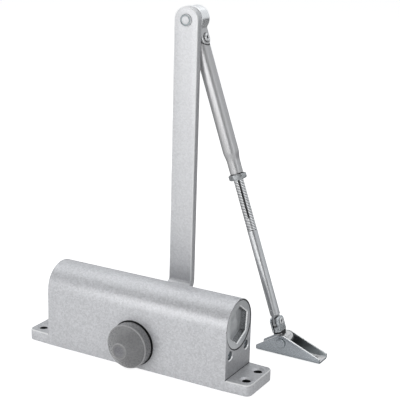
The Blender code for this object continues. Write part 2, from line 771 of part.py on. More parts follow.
def rack_cutter():
    """Everything below the rack's teeth; a gap between two teeth is centred on the spindle at rest."""
    pitch_line = SPINDLE_Z + PITCH_RADIUS
    tip = pitch_line - ADDENDUM
    root = pitch_line + DEDENDUM
    lean = math.tan(PRESSURE_ANGLE)
    half_gap = TOOTH_PITCH / 4 + TOOTH_THINNING / 2
    below = BORE_Z - BORE_RADIUS - OVERSHOOT
    first = math.floor(-RACK_LEAD / TOOTH_PITCH) + 1
    last = math.ceil(RACK_RIGHT / TOOTH_PITCH)
    outline = [Vector((first * TOOTH_PITCH - TOOTH_PITCH / 2, below))]
    outline.append(Vector((first * TOOTH_PITCH - TOOTH_PITCH / 2, tip)))
    for index in range(first, last + 1):
        centre = index * TOOTH_PITCH
        wide = half_gap + ADDENDUM * lean
        narrow = half_gap - DEDENDUM * lean
        outline += [
            Vector((centre - wide, tip)),
            Vector((centre - narrow, root)),
            Vector((centre + narrow, root)),
            Vector((centre + wide, tip)),
        ]
    outline.append(Vector((last * TOOTH_PITCH + TOOTH_PITCH / 2, tip)))
    outline.append(Vector((last * TOOTH_PITCH + TOOTH_PITCH / 2, below)))
    return plate("rack_cutter", outline, 3 * BORE_RADIUS, (0, 0, 0), UPRIGHT_FACING_Y)


def build_piston():
    pocket = PISTON_RADIUS - SPRING_POCKET_WALL
    pocket_floor = PISTON_LEFT + SPRING_POCKET_DEPTH
    check_floor = PISTON_RIGHT - CHECK_POCKET_DEPTH
    groove_end = PISTON_RIGHT - 0.0040
    groove_start = groove_end - SEAL_GROOVE_WIDTH
    groove_radius = PISTON_RADIUS - SEAL_GROOVE_DEPTH
    profile = [
        (PISTON_RADIUS, PISTON_RIGHT),
        (PISTON_RADIUS, groove_end),
        (groove_radius, groove_end),
        (groove_radius, groove_start),
        (PISTON_RADIUS, groove_start),
        (PISTON_RADIUS, PISTON_LEFT),
        (pocket, PISTON_LEFT),
        (pocket, pocket_floor),
        (CHECK_PASSAGE_RADIUS, pocket_floor),
        (CHECK_PASSAGE_RADIUS, check_floor - CHECK_POCKET_RADIUS / 2),
        (CHECK_POCKET_RADIUS, check_floor),
        (CHECK_POCKET_RADIUS, PISTON_RIGHT),
    ]
    piston = turned("piston", profile, (0, 0, BORE_Z), ALONG_X, ring=True)
    cut(piston, rack_cutter())
    finish(piston, STEEL)
    middle = (groove_start + groove_end) / 2
    major = (groove_radius + BORE_RADIUS) / 2
    seal_ring("piston_seal", major, (SEAL_GROOVE_DEPTH - GAP) / 2, (middle, 0, BORE_Z), ALONG_X)
    seat_length = 0.0014
    outer = CHECK_POCKET_RADIUS - GAP
    seat = [
        (outer, PISTON_RIGHT),
        (outer, PISTON_RIGHT - seat_length),
        (CHECK_PASSAGE_RADIUS, PISTON_RIGHT - seat_length),
        (CHECK_PASSAGE_RADIUS, PISTON_RIGHT),
    ]
    finish(turned("check_valve_seat", seat, (0, 0, BORE_Z), ALONG_X, steps=SMALL_ROUND, ring=True), STEEL)
    ball = bpy.data.meshes.new("check_valve_ball")
    bm = bmesh.new()
    bmesh.ops.create_uvsphere(bm, u_segments=16, v_segments=8, radius=CHECK_BALL_RADIUS)
    bm.to_mesh(ball)
    bm.free()
    ball_x = check_floor + CHECK_BALL_RADIUS - 0.0002
    finish(put(ball, "check_valve_ball", (ball_x, 0, BORE_Z)), STEEL)


def build_return_spring():
    """A coil with one closed turn at each end, between the left plug's cup and the piston's pocket."""
    wire = SPRING_WIRE / 2
    low = SPRING_LEFT + GAP + wire
    high = PISTON_LEFT + SPRING_POCKET_DEPTH - GAP - wire
    closed = SPRING_WIRE + GAP
    open_pitch = (high - low - 2 * closed) / (SPRING_TURNS - 2)
    points_per_turn = 14
    curve = bpy.data.curves.new("return_spring", "CURVE")
    curve.dimensions = "3D"
    curve.bevel_depth = wire
    curve.bevel_resolution = 2
    curve.use_fill_caps = True
    spline = curve.splines.new("POLY")
    count = SPRING_TURNS * points_per_turn + 1
    spline.points.add(count - 1)
    for index in range(count):
        turns = index / points_per_turn
        opened = min(max(turns - 1, 0), SPRING_TURNS - 2)
        x = low + closed * (turns - opened) + open_pitch * opened
        angle = 2 * math.pi * turns
        spline.points[index].co = (x, SPRING_RADIUS * math.cos(angle), SPRING_RADIUS * math.sin(angle), 1.0)
    helper = bpy.data.objects.new("return_spring_curve", curve)
    CUTTERS.objects.link(helper)
    spring = put(solid_mesh(helper), "return_spring", (0, 0, BORE_Z))
    bpy.data.objects.remove(helper, do_unlink=True)
    finish(spring, SPRING_STEEL)


# ---------------------------------------------------------------- main arm


def crank_outline():
    """The bar seen from its edge, as (depth, height): foot, slanted crank, straight arm."""
    foot = ARM_FOOT_FRONT + ARM_THICKNESS / 2
    arm = ARM_FRONT + ARM_THICKNESS / 2
    half = ARM_THICKNESS / 2
    skew = half * math.tan(math.atan2(arm - foot, CRANK_RISE) / 2)
    bend = CRANK_BEND
    end = CRANK_START + CRANK_RISE
    low = -ARM_WIDTH
    high = ARM_LENGTH + ARM_WIDTH
    return rounded(
        [
            (foot + half, low, 0),
            (foot + half, CRANK_START - skew, bend),
            (arm + half, end - skew, bend + ARM_THICKNESS),
            (arm + half, high, 0),
            (arm - half, high, 0),
            (arm - half, end + skew, bend),
            (foot - half, CRANK_START + skew, bend + ARM_THICKNESS),
            (foot - half, low, 0),
        ]
    )


def build_main_arm(parent):
    arm = plate("main_arm", crank_outline(), 2 * ARM_WIDTH, (0, 0, 0), UPRIGHT_FACING_X, parent)
    reach = 2 * (ARM_REAR + OVERSHOOT)
    face = plate("arm_face", stadium(ARM_WIDTH / 2, 0, ARM_LENGTH), reach, (0, 0, 0), UPRIGHT_FACING_Y, parent)
    combine(arm, "INTERSECT", face)
    hole = square(SPINDLE_SQUARE + 2 * GAP, SQUARE_CORNER)
    foot = (0, (ARM_FOOT_FRONT + ARM_FOOT_REAR) / 2, 0)
    cut(arm, plate("arm_square_hole", hole, 2 * ARM_THICKNESS, foot, UPRIGHT_FACING_Y, parent))
    elbow = (0, 0, ARM_LENGTH)
    front = ARM_FRONT - OVERSHOOT
    cut(arm, rod("arm_elbow_hole", ELBOW_BORE_RADIUS, front, ARM_REAR + OVERSHOOT, elbow, ALONG_Y, parent))
    finish(arm, PAINT)


def build_arm_fasteners(parent):
    washer_front = ARM_FOOT_REAR + GAP
    washer_rear = washer_front + ARM_WASHER_THICKNESS
    bore = ARM_SCREW_RADIUS + GAP
    ring = [
        (ARM_WASHER_RADIUS, washer_rear),
        (ARM_WASHER_RADIUS, washer_front),
        (bore, washer_front),
        (bore, washer_rear),
    ]
    finish(turned("arm_washer", ring, (0, 0, 0), ALONG_Y, parent, ring=True), ZINC)
    head_front = washer_rear + GAP
    head_rear = head_front + ARM_SCREW_HEAD_HEIGHT
    dome = 0.0012
    profile = [
        (0.0, head_rear),
        (ARM_SCREW_HEAD_RADIUS - dome, head_rear),
        (ARM_SCREW_HEAD_RADIUS, head_rear - dome),
        (ARM_SCREW_HEAD_RADIUS, head_front),
        (ARM_SCREW_RADIUS, head_front),
        (ARM_SCREW_RADIUS, SPINDLE_HALF_LENGTH - ARM_SCREW_DEPTH),
        (0.0, SPINDLE_HALF_LENGTH - ARM_SCREW_DEPTH),
    ]
    screw = turned("arm_screw", profile, (0, 0, 0), ALONG_Y, parent)
    socket = (0, head_rear, 0)
    cut(screw, plate("arm_screw_socket", hexagon(0.005), 0.005, socket, UPRIGHT_FACING_Y, parent))
    finish(screw, ZINC)


def build_elbow_rivet(parent):
    elbow = (0, 0, ARM_LENGTH)
    front = ARM_FRONT - GAP
    face = front - RIVET_HEAD_HEIGHT
    floor = face + RIVET_RING_DEPTH
    rear = BARREL_FRONT + BARREL_LENGTH + GAP
    profile = [
        (0.0, rear + RIVET_HEAD_HEIGHT),
        (RIVET_HEAD_RADIUS - 0.0004, rear + RIVET_HEAD_HEIGHT),
        (RIVET_HEAD_RADIUS, rear + RIVET_HEAD_HEIGHT / 2),
        (RIVET_HEAD_RADIUS, rear),
        (ELBOW_PIN_RADIUS, rear),
        (ELBOW_PIN_RADIUS, front),
        (RIVET_HEAD_RADIUS, front),
        (RIVET_HEAD_RADIUS - 0.0003, face),
        (RIVET_RING_RADIUS, face),
        (RIVET_RING_RADIUS, floor),
        (RIVET_DISC_RADIUS, floor),
        (RIVET_DISC_RADIUS, face),
        (0.0, face),
    ]
    finish(turned("elbow_rivet", profile, elbow, ALONG_Y, parent, SMALL_ROUND), ZINC)
    start = ARM_REAR + GAP
    end = start + ELBOW_WASHER_THICKNESS
    ring = [
        (ELBOW_WASHER_RADIUS, end),
        (ELBOW_WASHER_RADIUS, start),
        (ELBOW_BORE_RADIUS, start),
        (ELBOW_BORE_RADIUS, end),
    ]
    finish(turned("elbow_washer", ring, elbow, ALONG_Y, parent, SMALL_ROUND, ring=True), ZINC)


# ---------------------------------------------------------------- forearm


def lug_outline(radius, root, centre):
    """A rounded lug as (depth, height): from its root to a full round about the pin's centre."""
    end = centre + math.copysign(radius, centre - root)
    return rounded([(-radius, root, 0), (radius, root, 0), (radius, end, radius), (-radius, end, radius)], 8)


def cross_screw(name, pin, head, reach, height, location, parent):
    """A slotted screw along X through a fork, with a riveted far end."""
    start = reach + GAP
    rise = height * 0.7
    profile = [
        (0.0, start + height),
        (head - 0.0006, start + height),
        (head, start + height - 0.0005),
        (head, start),
        (pin, start),
        (pin, -start),
        (head - 0.0005, -start),
        (head - 0.0009, -start - rise),
        (0.0, -start - rise),
    ]
    screw = turned(name, profile, location, ALONG_X, parent, SMALL_ROUND)
    x, y, z = location
    top = x + start + height
    half = SCREW_SLOT_WIDTH / 2
    low = (top - SCREW_SLOT_DEPTH, y - head, z - half)
    high = (top + OVERSHOOT, y + head, z + half)
    cut(screw, box(f"{name}_slot", low, high, parent))
    finish(screw, ZINC)


def build_knuckle(parent):
    half = BARREL_LENGTH / 2
    knuckle = rod("elbow_knuckle", BARREL_RADIUS, -half, half, (0, 0, 0), ALONG_Y, parent, ROUND)
    outline = lug_outline(FORK_RADIUS, 0.0, -FORK_REACH)
    join(knuckle, plate("fork_lug", outline, 2 * FORK_HALF_WIDTH, (0, 0, 0), UPRIGHT_FACING_X, parent))
    slot = TONGUE_HALF_THICKNESS + GAP
    bottom = -FORK_REACH - FORK_RADIUS - OVERSHOOT
    pin = (0, 0, -FORK_REACH)
    through = (-BARREL_LENGTH, BARREL_LENGTH)
    cut(
        knuckle,
        box("fork_slot", (-slot, -2 * FORK_RADIUS, bottom), (slot, 2 * FORK_RADIUS, -FORK_SLOT_TOP), parent),
        rod("knuckle_bore", ELBOW_BORE_RADIUS, *through, (0, 0, 0), ALONG_Y, parent),
        rod("fork_bore", CROSS_BORE_RADIUS, *through, pin, ALONG_X, parent),
    )
    finish(knuckle, PAINT)
    radii = (CROSS_PIN_RADIUS, CROSS_HEAD_RADIUS)
    cross_screw("knuckle_screw", *radii, FORK_HALF_WIDTH, CROSS_HEAD_HEIGHT, pin, parent)


def build_forearm_tube(parent):
    neck = TUBE_NECK_START + TUBE_NECK_LENGTH
    chamfer = 0.0004
    profile = [
        (0.0, -TUBE_TOP),
        (TUBE_RADIUS - chamfer, -TUBE_TOP),
        (TUBE_RADIUS, -TUBE_TOP - chamfer),
        (TUBE_RADIUS, -TUBE_NECK_START),
        ((2 * TUBE_RADIUS + TUBE_END_RADIUS) / 3, -TUBE_NECK_START - 0.35 * TUBE_NECK_LENGTH),
        ((TUBE_RADIUS + 4 * TUBE_END_RADIUS) / 5, -TUBE_NECK_START - 0.75 * TUBE_NECK_LENGTH),
        (TUBE_END_RADIUS, -neck),
        (TUBE_END_RADIUS, -TUBE_LENGTH),
        (ROD_BORE_RADIUS, -TUBE_LENGTH),
        (ROD_BORE_RADIUS, -TUBE_BORE_TOP),
        (0.0, -TUBE_BORE_TOP),
    ]
    tube = turned("forearm_tube", profile, (0, 0, 0), (0, 0, 0), parent)
    inside = TONGUE_HALF_THICKNESS - 0.0001
    outside = 2 * TUBE_RADIUS
    for side in (-1, 1):
        span = (side * inside, side * outside)
        cut(tube, rod(f"fork_seat_{side}", TUBE_SEAT_RADIUS, *span, (0, 0, 0), ALONG_X, parent, ROUND))
    tongue = lug_outline(TONGUE_RADIUS, -2 * TUBE_SEAT_RADIUS, 0.0)
    join(tube, plate("tongue", tongue, 2 * TONGUE_HALF_THICKNESS, (0, 0, 0), UPRIGHT_FACING_X, parent))
    cut(tube, rod("tongue_bore", CROSS_BORE_RADIUS, -outside, outside, (0, 0, 0), ALONG_X, parent))
    finish(tube, PAINT)


def build_jam_nut(parent):
    middle = -JAM_NUT_TOP - JAM_NUT_THICKNESS / 2
    nut = plate("jam_nut", hexagon(JAM_NUT_FLATS), JAM_NUT_THICKNESS, (0, 0, middle), (0, 0, 0), parent)
    corner = JAM_NUT_FLATS / math.sqrt(3)
    half = JAM_NUT_THICKNESS / 2
    chamfer = 0.0005
    dish = [
        (0.0, half),
        (corner - 0.0009, half),
        (corner + 0.0001, half - chamfer),
        (corner + 0.0001, chamfer - half),
        (corner - 0.0009, -half),
        (0.0, -half),
    ]
    combine(nut, "INTERSECT", turned("nut_chamfer", dish, (0, 0, middle), (0, 0, 0), parent))
    reach = JAM_NUT_THICKNESS
    cut(nut, rod("nut_bore", ROD_BORE_RADIUS, -reach, reach, (0, 0, middle), (0, 0, 0), parent))
    finish(nut, ZINC)


def build_adjusting_rod(parent):
    bottom = ROD_PIN - ROD_TO_PIN
    round_rod = rod("adjusting_rod", ROD_RADIUS, -bottom, -ROD_TOP, (0, 0, 0), (0, 0, 0), parent, SMALL_ROUND)
    tang = lug_outline(TANG_RADIUS, TANG_ROOT - ROD_PIN, -ROD_PIN)
    join(round_rod, plate("tang", tang, 2 * TANG_HALF_THICKNESS, (0, 0, 0), UPRIGHT_FACING_X, parent))
    top = -JAM_NUT_TOP - JAM_NUT_THICKNESS / 2
    half = GROOVE_WIDTH / 2
    outer = -ROD_RADIUS - OVERSHOOT
    low = (-half, outer, top - GROOVE_LENGTH)
    high = (half, -ROD_RADIUS + GROOVE_DEPTH, top)
    cut(round_rod, box("groove", low, high, parent, GROOVE_TURN))
    bore = CLEVIS_PIN_RADIUS + GAP
    cut(round_rod, rod("tang_bore", bore, -ROD_PIN, ROD_PIN, (0, 0, -ROD_PIN), ALONG_X, parent))
    finish(round_rod, ZINC)


# ---------------------------------------------------------------- clevis and shoe


def build_clevis(parent):
    """A fork that stands ahead of its barrel's middle and over the shoe's front wall."""
    half = SHOE_WIDTH / 2 - SHOE_SHEET - GAP
    clevis = rod("rod_clevis", CLEVIS_BARREL_RADIUS, -half, half, (0, 0, 0), ALONG_Y, parent, ROUND)
    front = -CLEVIS_OFFSET - CLEVIS_HALF_WIDTH
    back = -CLEVIS_OFFSET + CLEVIS_HALF_WIDTH
    lug = rounded(
        [
            (front, CLEVIS_FOOT, 0),
            (back, CLEVIS_FOOT, 0),
            (back, CLEVIS_TOP, CLEVIS_CORNER),
            (front, CLEVIS_TOP, CLEVIS_CORNER),
        ]
    )
    join(clevis, plate("clevis_lug", lug, 2 * CLEVIS_HALF_THICKNESS, (0, 0, 0), UPRIGHT_FACING_X, parent))
    neck = CLEVIS_NECK_HALF_THICKNESS
    join(clevis, box("clevis_neck", (-neck, -half, 0), (neck, back - GAP, CLEVIS_FOOT + 0.001), parent))
    slot = TANG_HALF_THICKNESS + GAP
    reach = SHOE_WIDTH
    pin = (0, -CLEVIS_OFFSET, CLEVIS_REACH)
    cut(
        clevis,
        box("clevis_slot", (-slot, -reach, CLEVIS_SLOT_FLOOR), (slot, reach, 2 * CLEVIS_TOP), parent),
        rod("clevis_bore", SHOE_PIN_RADIUS + GAP, -reach, reach, (0, 0, 0), ALONG_Y, parent),
        rod("clevis_pin_bore", CLEVIS_PIN_RADIUS + GAP, -reach, reach, pin, ALONG_X, parent),
    )
    finish(clevis, ZINC)
    radii = (CLEVIS_PIN_RADIUS, CLEVIS_HEAD_RADIUS)
    cross_screw("clevis_screw", *radii, CLEVIS_HALF_THICKNESS, CLEVIS_HEAD_HEIGHT, pin, parent)


def tangent_direction(x, height, sign):
    """The direction from an end of the shoe's wall along its top edge, which touches the apex round."""
    to_centre = Vector((-x, SHOE_PIVOT_Z - height))
    lift = math.asin(SHOE_APEX_RADIUS / to_centre.length)
    return Matrix.Rotation(sign * lift, 2) @ to_centre.normalized()


def shoe_outline():
    """The channel's side wall as (x from the pivot, height): low ends and a round apex over the pin."""
    left = Vector((-SHOE_LEFT, SHOE_LEFT_HEIGHT))
    right = Vector((SHOE_RIGHT, SHOE_RIGHT_HEIGHT))
    up_left = tangent_direction(left.x, left.y, 1)
    up_right = tangent_direction(right.x, right.y, -1)
    along = (right - left).cross(up_right) / up_left.cross(up_right)
    apex = left + up_left * along
    return rounded(
        [
            (-SHOE_LEFT, 0, 0),
            (SHOE_RIGHT, 0, 0),
            (right.x, right.y, 0),
            (apex.x, apex.y, SHOE_APEX_RADIUS),
            (left.x, left.y, 0),
        ],
        12,
    )


def build_shoe(parent):
    drop = -SHOE_PIVOT_Z
    shoe = plate("shoe_bracket", shoe_outline(), SHOE_WIDTH, (0, 0, drop), UPRIGHT_FACING_Y, parent)
    inside = SHOE_WIDTH / 2 - SHOE_SHEET
    low = (-SHOE_LEFT - OVERSHOOT, -inside, drop + SHOE_SHEET)
    high = (SHOE_RIGHT + OVERSHOOT, inside, SHOE_APEX_RADIUS + OVERSHOOT)
    pin_hole = SHOE_PIN_RADIUS + GAP
    cut(shoe, box("channel", low, high, parent))
    cut(shoe, rod("shoe_pin_hole", pin_hole, -SHOE_WIDTH, SHOE_WIDTH, (0, 0, 0), ALONG_Y, parent))
    for name, x in (("left", SHOE_HOLE_FROM_END - SHOE_LEFT), ("right", SHOE_RIGHT - SHOE_HOLE_FROM_END)):
        hole = rod(f"floor_hole_{name}", SHOE_HOLE_RADIUS, drop - OVERSHOOT, 0.0, (x, 0, 0), (0, 0, 0), parent)
        cut(shoe, hole)
    finish(shoe, ZINC)
    wall = SHOE_WIDTH / 2 + GAP
    head = SHOE_PIN_HEAD_RADIUS
    face = wall + SHOE_PIN_HEAD_HEIGHT
    half = [(head - 0.0006, face), (head, face - 0.0004), (head, wall), (SHOE_PIN_RADIUS, wall)]
    other = [(radius, -y) for radius, y in reversed(half)]
    profile = [(0.0, face), *half, *other, (0.0, -face)]
    finish(turned("shoe_rivet", profile, (0, 0, 0), ALONG_Y, parent, SMALL_ROUND), ZINC)


def build_all():
    spindle_frame = frame("spindle_axis", (0, 0, SPINDLE_Z))
    arm_frame = frame("arm_axis", (0, 0, 0), (0, ARM_LEAN, 0), spindle_frame)
    knuckle_frame = frame("elbow_axis", (ELBOW_X, KNUCKLE_Y, ELBOW_Z), (0, -FOREARM_FOLD, 0))
    forearm_frame = frame("forearm_axis", (0, 0, -FORK_REACH), (FOREARM_TILT, 0, 0), knuckle_frame)
    clevis_frame = frame("clevis_axis", (SHOE_PIVOT_X, SHOE_Y, SHOE_PIVOT_Z), (0, -FOREARM_FOLD, 0))
    shoe_frame = frame("shoe_axis", (SHOE_PIVOT_X, SHOE_Y, SHOE_PIVOT_Z))

    build_housing()
    build_end_plug("end_plug_right", 1)
    build_end_plug("end_plug_left", -1)
    build_cover_nut()
    build_shaft_rings()
    build_spindle_cap()
    for name, side in (("closing_valve", -1), ("latching_valve", 1)):
        valve_frame = frame(f"{name}_axis", (BODY_END, side * VALVE_Y, VALVE_Z))
        build_valve(name, side, valve_frame)
    build_spindle(spindle_frame)
    build_piston()
    build_return_spring()
    build_main_arm(arm_frame)
    build_arm_fasteners(arm_frame)
    build_elbow_rivet(arm_frame)
    build_knuckle(knuckle_frame)
    build_forearm_tube(forearm_frame)
    build_jam_nut(forearm_frame)
    build_adjusting_rod(forearm_frame)
    build_clevis(clevis_frame)
    build_shoe(shoe_frame)


build_all()
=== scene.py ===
"""Looks of a surface-mounted door closer with a double arm: detailed pieces, finishes, lights and camera.

Metres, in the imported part's own frame. The body lies along X and the spindle's axis along Y. Round pieces
are drawn up along Z and then turned into place, so that every finished object sits at the origin.
"""

import json
import math

import bmesh
import bpy
from mathutils import Matrix, Vector

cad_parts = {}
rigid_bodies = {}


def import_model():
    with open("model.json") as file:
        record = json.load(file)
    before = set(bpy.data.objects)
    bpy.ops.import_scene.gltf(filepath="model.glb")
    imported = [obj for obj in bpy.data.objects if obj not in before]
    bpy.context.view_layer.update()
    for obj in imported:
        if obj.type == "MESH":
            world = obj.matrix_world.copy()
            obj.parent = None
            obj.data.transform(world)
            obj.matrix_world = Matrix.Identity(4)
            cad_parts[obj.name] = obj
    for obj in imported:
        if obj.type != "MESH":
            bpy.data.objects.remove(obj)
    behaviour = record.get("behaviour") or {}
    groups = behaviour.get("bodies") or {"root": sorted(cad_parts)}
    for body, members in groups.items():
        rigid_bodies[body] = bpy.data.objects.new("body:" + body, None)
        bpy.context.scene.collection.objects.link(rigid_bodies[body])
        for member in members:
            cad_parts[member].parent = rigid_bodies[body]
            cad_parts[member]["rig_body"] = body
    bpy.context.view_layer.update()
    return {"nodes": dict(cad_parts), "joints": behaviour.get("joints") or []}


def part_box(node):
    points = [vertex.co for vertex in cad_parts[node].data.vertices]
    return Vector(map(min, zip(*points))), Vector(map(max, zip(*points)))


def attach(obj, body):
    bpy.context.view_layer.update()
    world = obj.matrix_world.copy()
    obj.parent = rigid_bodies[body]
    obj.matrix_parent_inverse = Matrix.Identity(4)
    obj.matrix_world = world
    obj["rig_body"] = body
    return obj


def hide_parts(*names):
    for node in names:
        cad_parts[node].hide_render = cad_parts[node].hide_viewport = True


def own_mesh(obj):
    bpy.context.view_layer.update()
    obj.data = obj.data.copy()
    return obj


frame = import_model()
JOINTS = {joint["name"]: joint for joint in frame["joints"]}

# Places that follow from the frame
GAP = 0.0003
HOUSING_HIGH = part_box("housing")[1]
DEPTH = HOUSING_HIGH.y
EAR_END = HOUSING_HIGH.x
BODY_TOP = HOUSING_HIGH.z
BODY_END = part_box("end_plug_right")[1].x + GAP
BORE_Z = BODY_TOP - DEPTH
SPINDLE = Vector(JOINTS["spindle_turn"]["pos_m"])
ELBOW = Vector(JOINTS["elbow_turn"]["pos_m"])
UPPER_PIN = Vector(JOINTS["knuckle_tilt"]["pos_m"])
LOWER_PIN = Vector(JOINTS["clevis_tilt"]["pos_m"])
SHOE_PIVOT = Vector(JOINTS["shoe_turn"]["pos_m"])
CROSS = Vector(JOINTS["knuckle_tilt"]["axis"])
DOWN_ROD = Vector(JOINTS["rod_extend"]["axis"])
BACKWARD = Vector((0.0, 1.0, 0.0))
ARM_LENGTH = (ELBOW - SPINDLE).xz.length

at = Matrix.Translation
ALONG_X = Matrix.Rotation(math.pi / 2, 4, "Y")
ALONG_MINUS_X = Matrix.Rotation(-math.pi / 2, 4, "Y")
ALONG_Y = Matrix.Rotation(-math.pi / 2, 4, "X")


def standing(place, across, up):
    """The matrix of a piece whose own X runs across and whose own Z runs up, with its origin at place."""
    back = up.cross(across)
    turn = Matrix((across, back, up)).transposed().to_4x4()
    return at(place) @ turn


ARM = at(SPINDLE) @ Matrix.Rotation(math.atan2(ELBOW.x, ELBOW.z - SPINDLE.z), 4, "Y")
KNUCKLE = standing(ELBOW, CROSS, CROSS.cross(BACKWARD))
FOREARM = standing(UPPER_PIN, CROSS, -DOWN_ROD)
CLEVIS = standing(SHOE_PIVOT, CROSS, CROSS.cross(BACKWARD))
SHOE = at(SHOE_PIVOT)

# ---------------------------------------- working by hand

# The axes that an edge may run along
X, Y = 0, 1
# Points closer than MERGE become one. A face or an edge is looked for within NEAR of its place. A full round
# stops SEAM short of its middle. A cutter that goes right through reaches out THROUGH on each side.
MERGE = 0.000002
NEAR = 0.0001
SEAM = 0.00002
THROUGH = 0.02


def pick(obj):
    """Makes obj the only selected object, and the active one."""
    bpy.ops.object.select_all(action="DESELECT")
    obj.select_set(True)
    bpy.context.view_layer.objects.active = obj


def edit(obj):
    pick(obj)
    bpy.ops.object.mode_set(mode="EDIT")


def leave():
    bpy.ops.object.mode_set(mode="OBJECT")


def named(name):
    """Names the primitive that was just added, and puts its place into its mesh."""
    obj = bpy.context.object
    obj.name = name
    obj.data.name = name
    bpy.ops.object.transform_apply()
    return obj


def select(kind, test):
    """In edit mode, selects only what passes the test: a vertex by place, an edge by its two ends, a face
    by its centre and normal."""
    bpy.ops.mesh.select_mode(type=kind)
    bpy.ops.mesh.select_all(action="DESELECT")
    data = bpy.context.object.data
    shape = bmesh.from_edit_mesh(data)
    if kind == "VERT":
        found = [vert for vert in shape.verts if test(vert.co)]
    elif kind == "EDGE":
        found = [line for line in shape.edges if test(line.verts[0].co, line.verts[1].co)]
    else:
        found = [face for face in shape.faces if test(face.calc_center_median(), face.normal)]
    for item in found:
        item.select_set(True)
    bmesh.update_edit_mesh(data)


def select_all(kind):
    bpy.ops.mesh.select_mode(type=kind)
    bpy.ops.mesh.select_all(action="SELECT")


def merge_points():
    """In edit mode, joins the points that lie on one another."""
    bpy.ops.mesh.select_all(action="SELECT")
    bpy.ops.mesh.remove_doubles(threshold=MERGE)


def face_outward():
    bpy.ops.mesh.select_all(action="SELECT")
    bpy.ops.mesh.normals_make_consistent(inside=False)


def by(step):
    """What an extrude operator is told, to move by a step."""
    return {"value": step, "orient_type": "GLOBAL"}


def running(axis, length, above=-1.0, below=1.0):
    """A test for the edges that run along an axis for more than a length, between two heights."""
    return lambda a, b: abs(a[axis] - b[axis]) > length and min(a.z, b.z) > above and max(a.z, b.z) < below


def block(name, low, high):
    """A block from its low corner to its high corner."""
    low, high = Vector(low), Vector(high)
    bpy.ops.mesh.primitive_cube_add(size=1.0, location=(low + high) / 2, scale=high - low)
    return named(name)


def move(obj, matrix):
    """Turns and moves a piece, and keeps its object at the origin."""
    pick(obj)
    obj.matrix_world = matrix
    bpy.ops.object.transform_apply()
    return obj


def arc(centre, radius, start, end, steps):
    """The points of an arc round a (radius, height) centre; angles in degrees, 0 outwards and 90 up."""
    points = []
    for step in range(steps + 1):
        angle = math.radians(start + (end - start) * step / steps)
        points.append((centre[0] + radius * math.cos(angle), centre[1] + radius * math.sin(angle)))
    return points


def flipped(half):
    """The same stations on the other side of the middle, in the opposite order."""
    return [(radius, -height) for radius, height in reversed(half)]


def drawn(name, stations, sides=48, matrix=None, ring=False):
    """A round piece drawn up from its first (radius, height) to its last, closed at both ends, and turned
    into place. With ring, the last station is joined to the first one instead."""
    radius, height = stations[0]
    fill = "NOTHING" if ring else "NGON"
    bpy.ops.mesh.primitive_circle_add(
        vertices=sides, radius=radius, location=(0, 0, height), fill_type=fill
    )
    obj = named(name)
    edit(obj)
    select_all("EDGE")
    for wide, high in [*stations[1:], *stations[: 1 if ring else 0]]:
        bpy.ops.mesh.extrude_edges_move(TRANSFORM_OT_translate=by((0, 0, high - height)))
        share = wide / radius
        bpy.ops.transform.resize(value=(share, share, 1), center_override=(0, 0, high))
        radius, height = wide, high
    if not ring:
        bpy.ops.mesh.edge_face_add()
    merge_points()
    face_outward()
    leave()
    return move(obj, matrix) if matrix else obj


def pin_cutter(radius, start, end, matrix, sides=32):
    """A plain round cutter along its own Z, from start to end."""
    return drawn("cutter", [(radius, start), (radius, end)], sides, matrix)


def through(radius, matrix):
    """A plain round cutter that goes right through."""
    return pin_cutter(radius, -THROUGH, THROUGH, matrix)


def bevel(obj, test, width, steps=3):
    """Rounds the edges that pass the test."""
    edit(obj)
    select("EDGE", test)
    bpy.ops.mesh.bevel(offset=width, segments=steps, affect="EDGES", clamp_overlap=False)
    merge_points()
    leave()


def apply(obj, kind, **settings):
    """Adds a modifier with its settings, and applies it."""
    pick(obj)
    modifier = obj.modifiers.new(kind.lower(), kind)
    for key, value in settings.items():
        setattr(modifier, key, value)
    bpy.ops.object.modifier_apply(modifier=modifier.name)


def soften(obj, width, steps=3, degrees=40.0):
    """Rounds every edge that is sharper than the angle."""
    angle = math.radians(degrees)
    limits = {"limit_method": "ANGLE", "angle_limit": angle, "miter_outer": "MITER_ARC"}
    apply(obj, "BEVEL", width=width, segments=steps, **limits)


def wind(obj, rise, turns, steps, **settings):
    """Winds an outline up round the Z axis, and closes its two ends."""
    apply(obj, "SCREW", screw_offset=rise, iterations=turns, steps=steps, render_steps=steps, **settings)
    edit(obj)
    bpy.ops.mesh.select_mode(type="EDGE")
    bpy.ops.mesh.select_all(action="DESELECT")
    bpy.ops.mesh.select_non_manifold()
    bpy.ops.mesh.edge_face_add()
    face_outward()
    leave()


def combine(obj, operation, others):
    for other in others:
        apply(obj, "BOOLEAN", operation=operation, solver="EXACT", object=other)
        bpy.data.objects.remove(other)


def carve(obj, *cutters):
    combine(obj, "DIFFERENCE", cutters)


def weld(obj, *others):
    combine(obj, "UNION", others)


def finish_piece(obj, matrix, node, slot, material, *zones, degrees=32.0):
    """Puts a piece in its place, shades it, and lets it stand for its CAD node on that node's body. Each zone
    is a test of a face's place and normal, in the piece's own frame, and the finish that such faces get
    instead. A later zone goes over an earlier one."""
    move(obj, matrix)
    bpy.ops.object.shade_smooth_by_angle(angle=math.radians(degrees))
    obj.data.materials.clear()
    obj.data.materials.append(material)
    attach(obj, frame["nodes"][node]["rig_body"])
    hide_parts(node)
    back = matrix.inverted()
    turn = back.to_3x3()
    for test, finish in zones:
        obj.data.materials.append(finish)
        edit(obj)
        select("FACE", lambda centre, normal: test(back @ centre, turn @ normal))
        obj.active_material_index = len(obj.data.materials) - 1
        bpy.ops.object.material_slot_assign()
        leave()


# ---------------------------------------- finishes


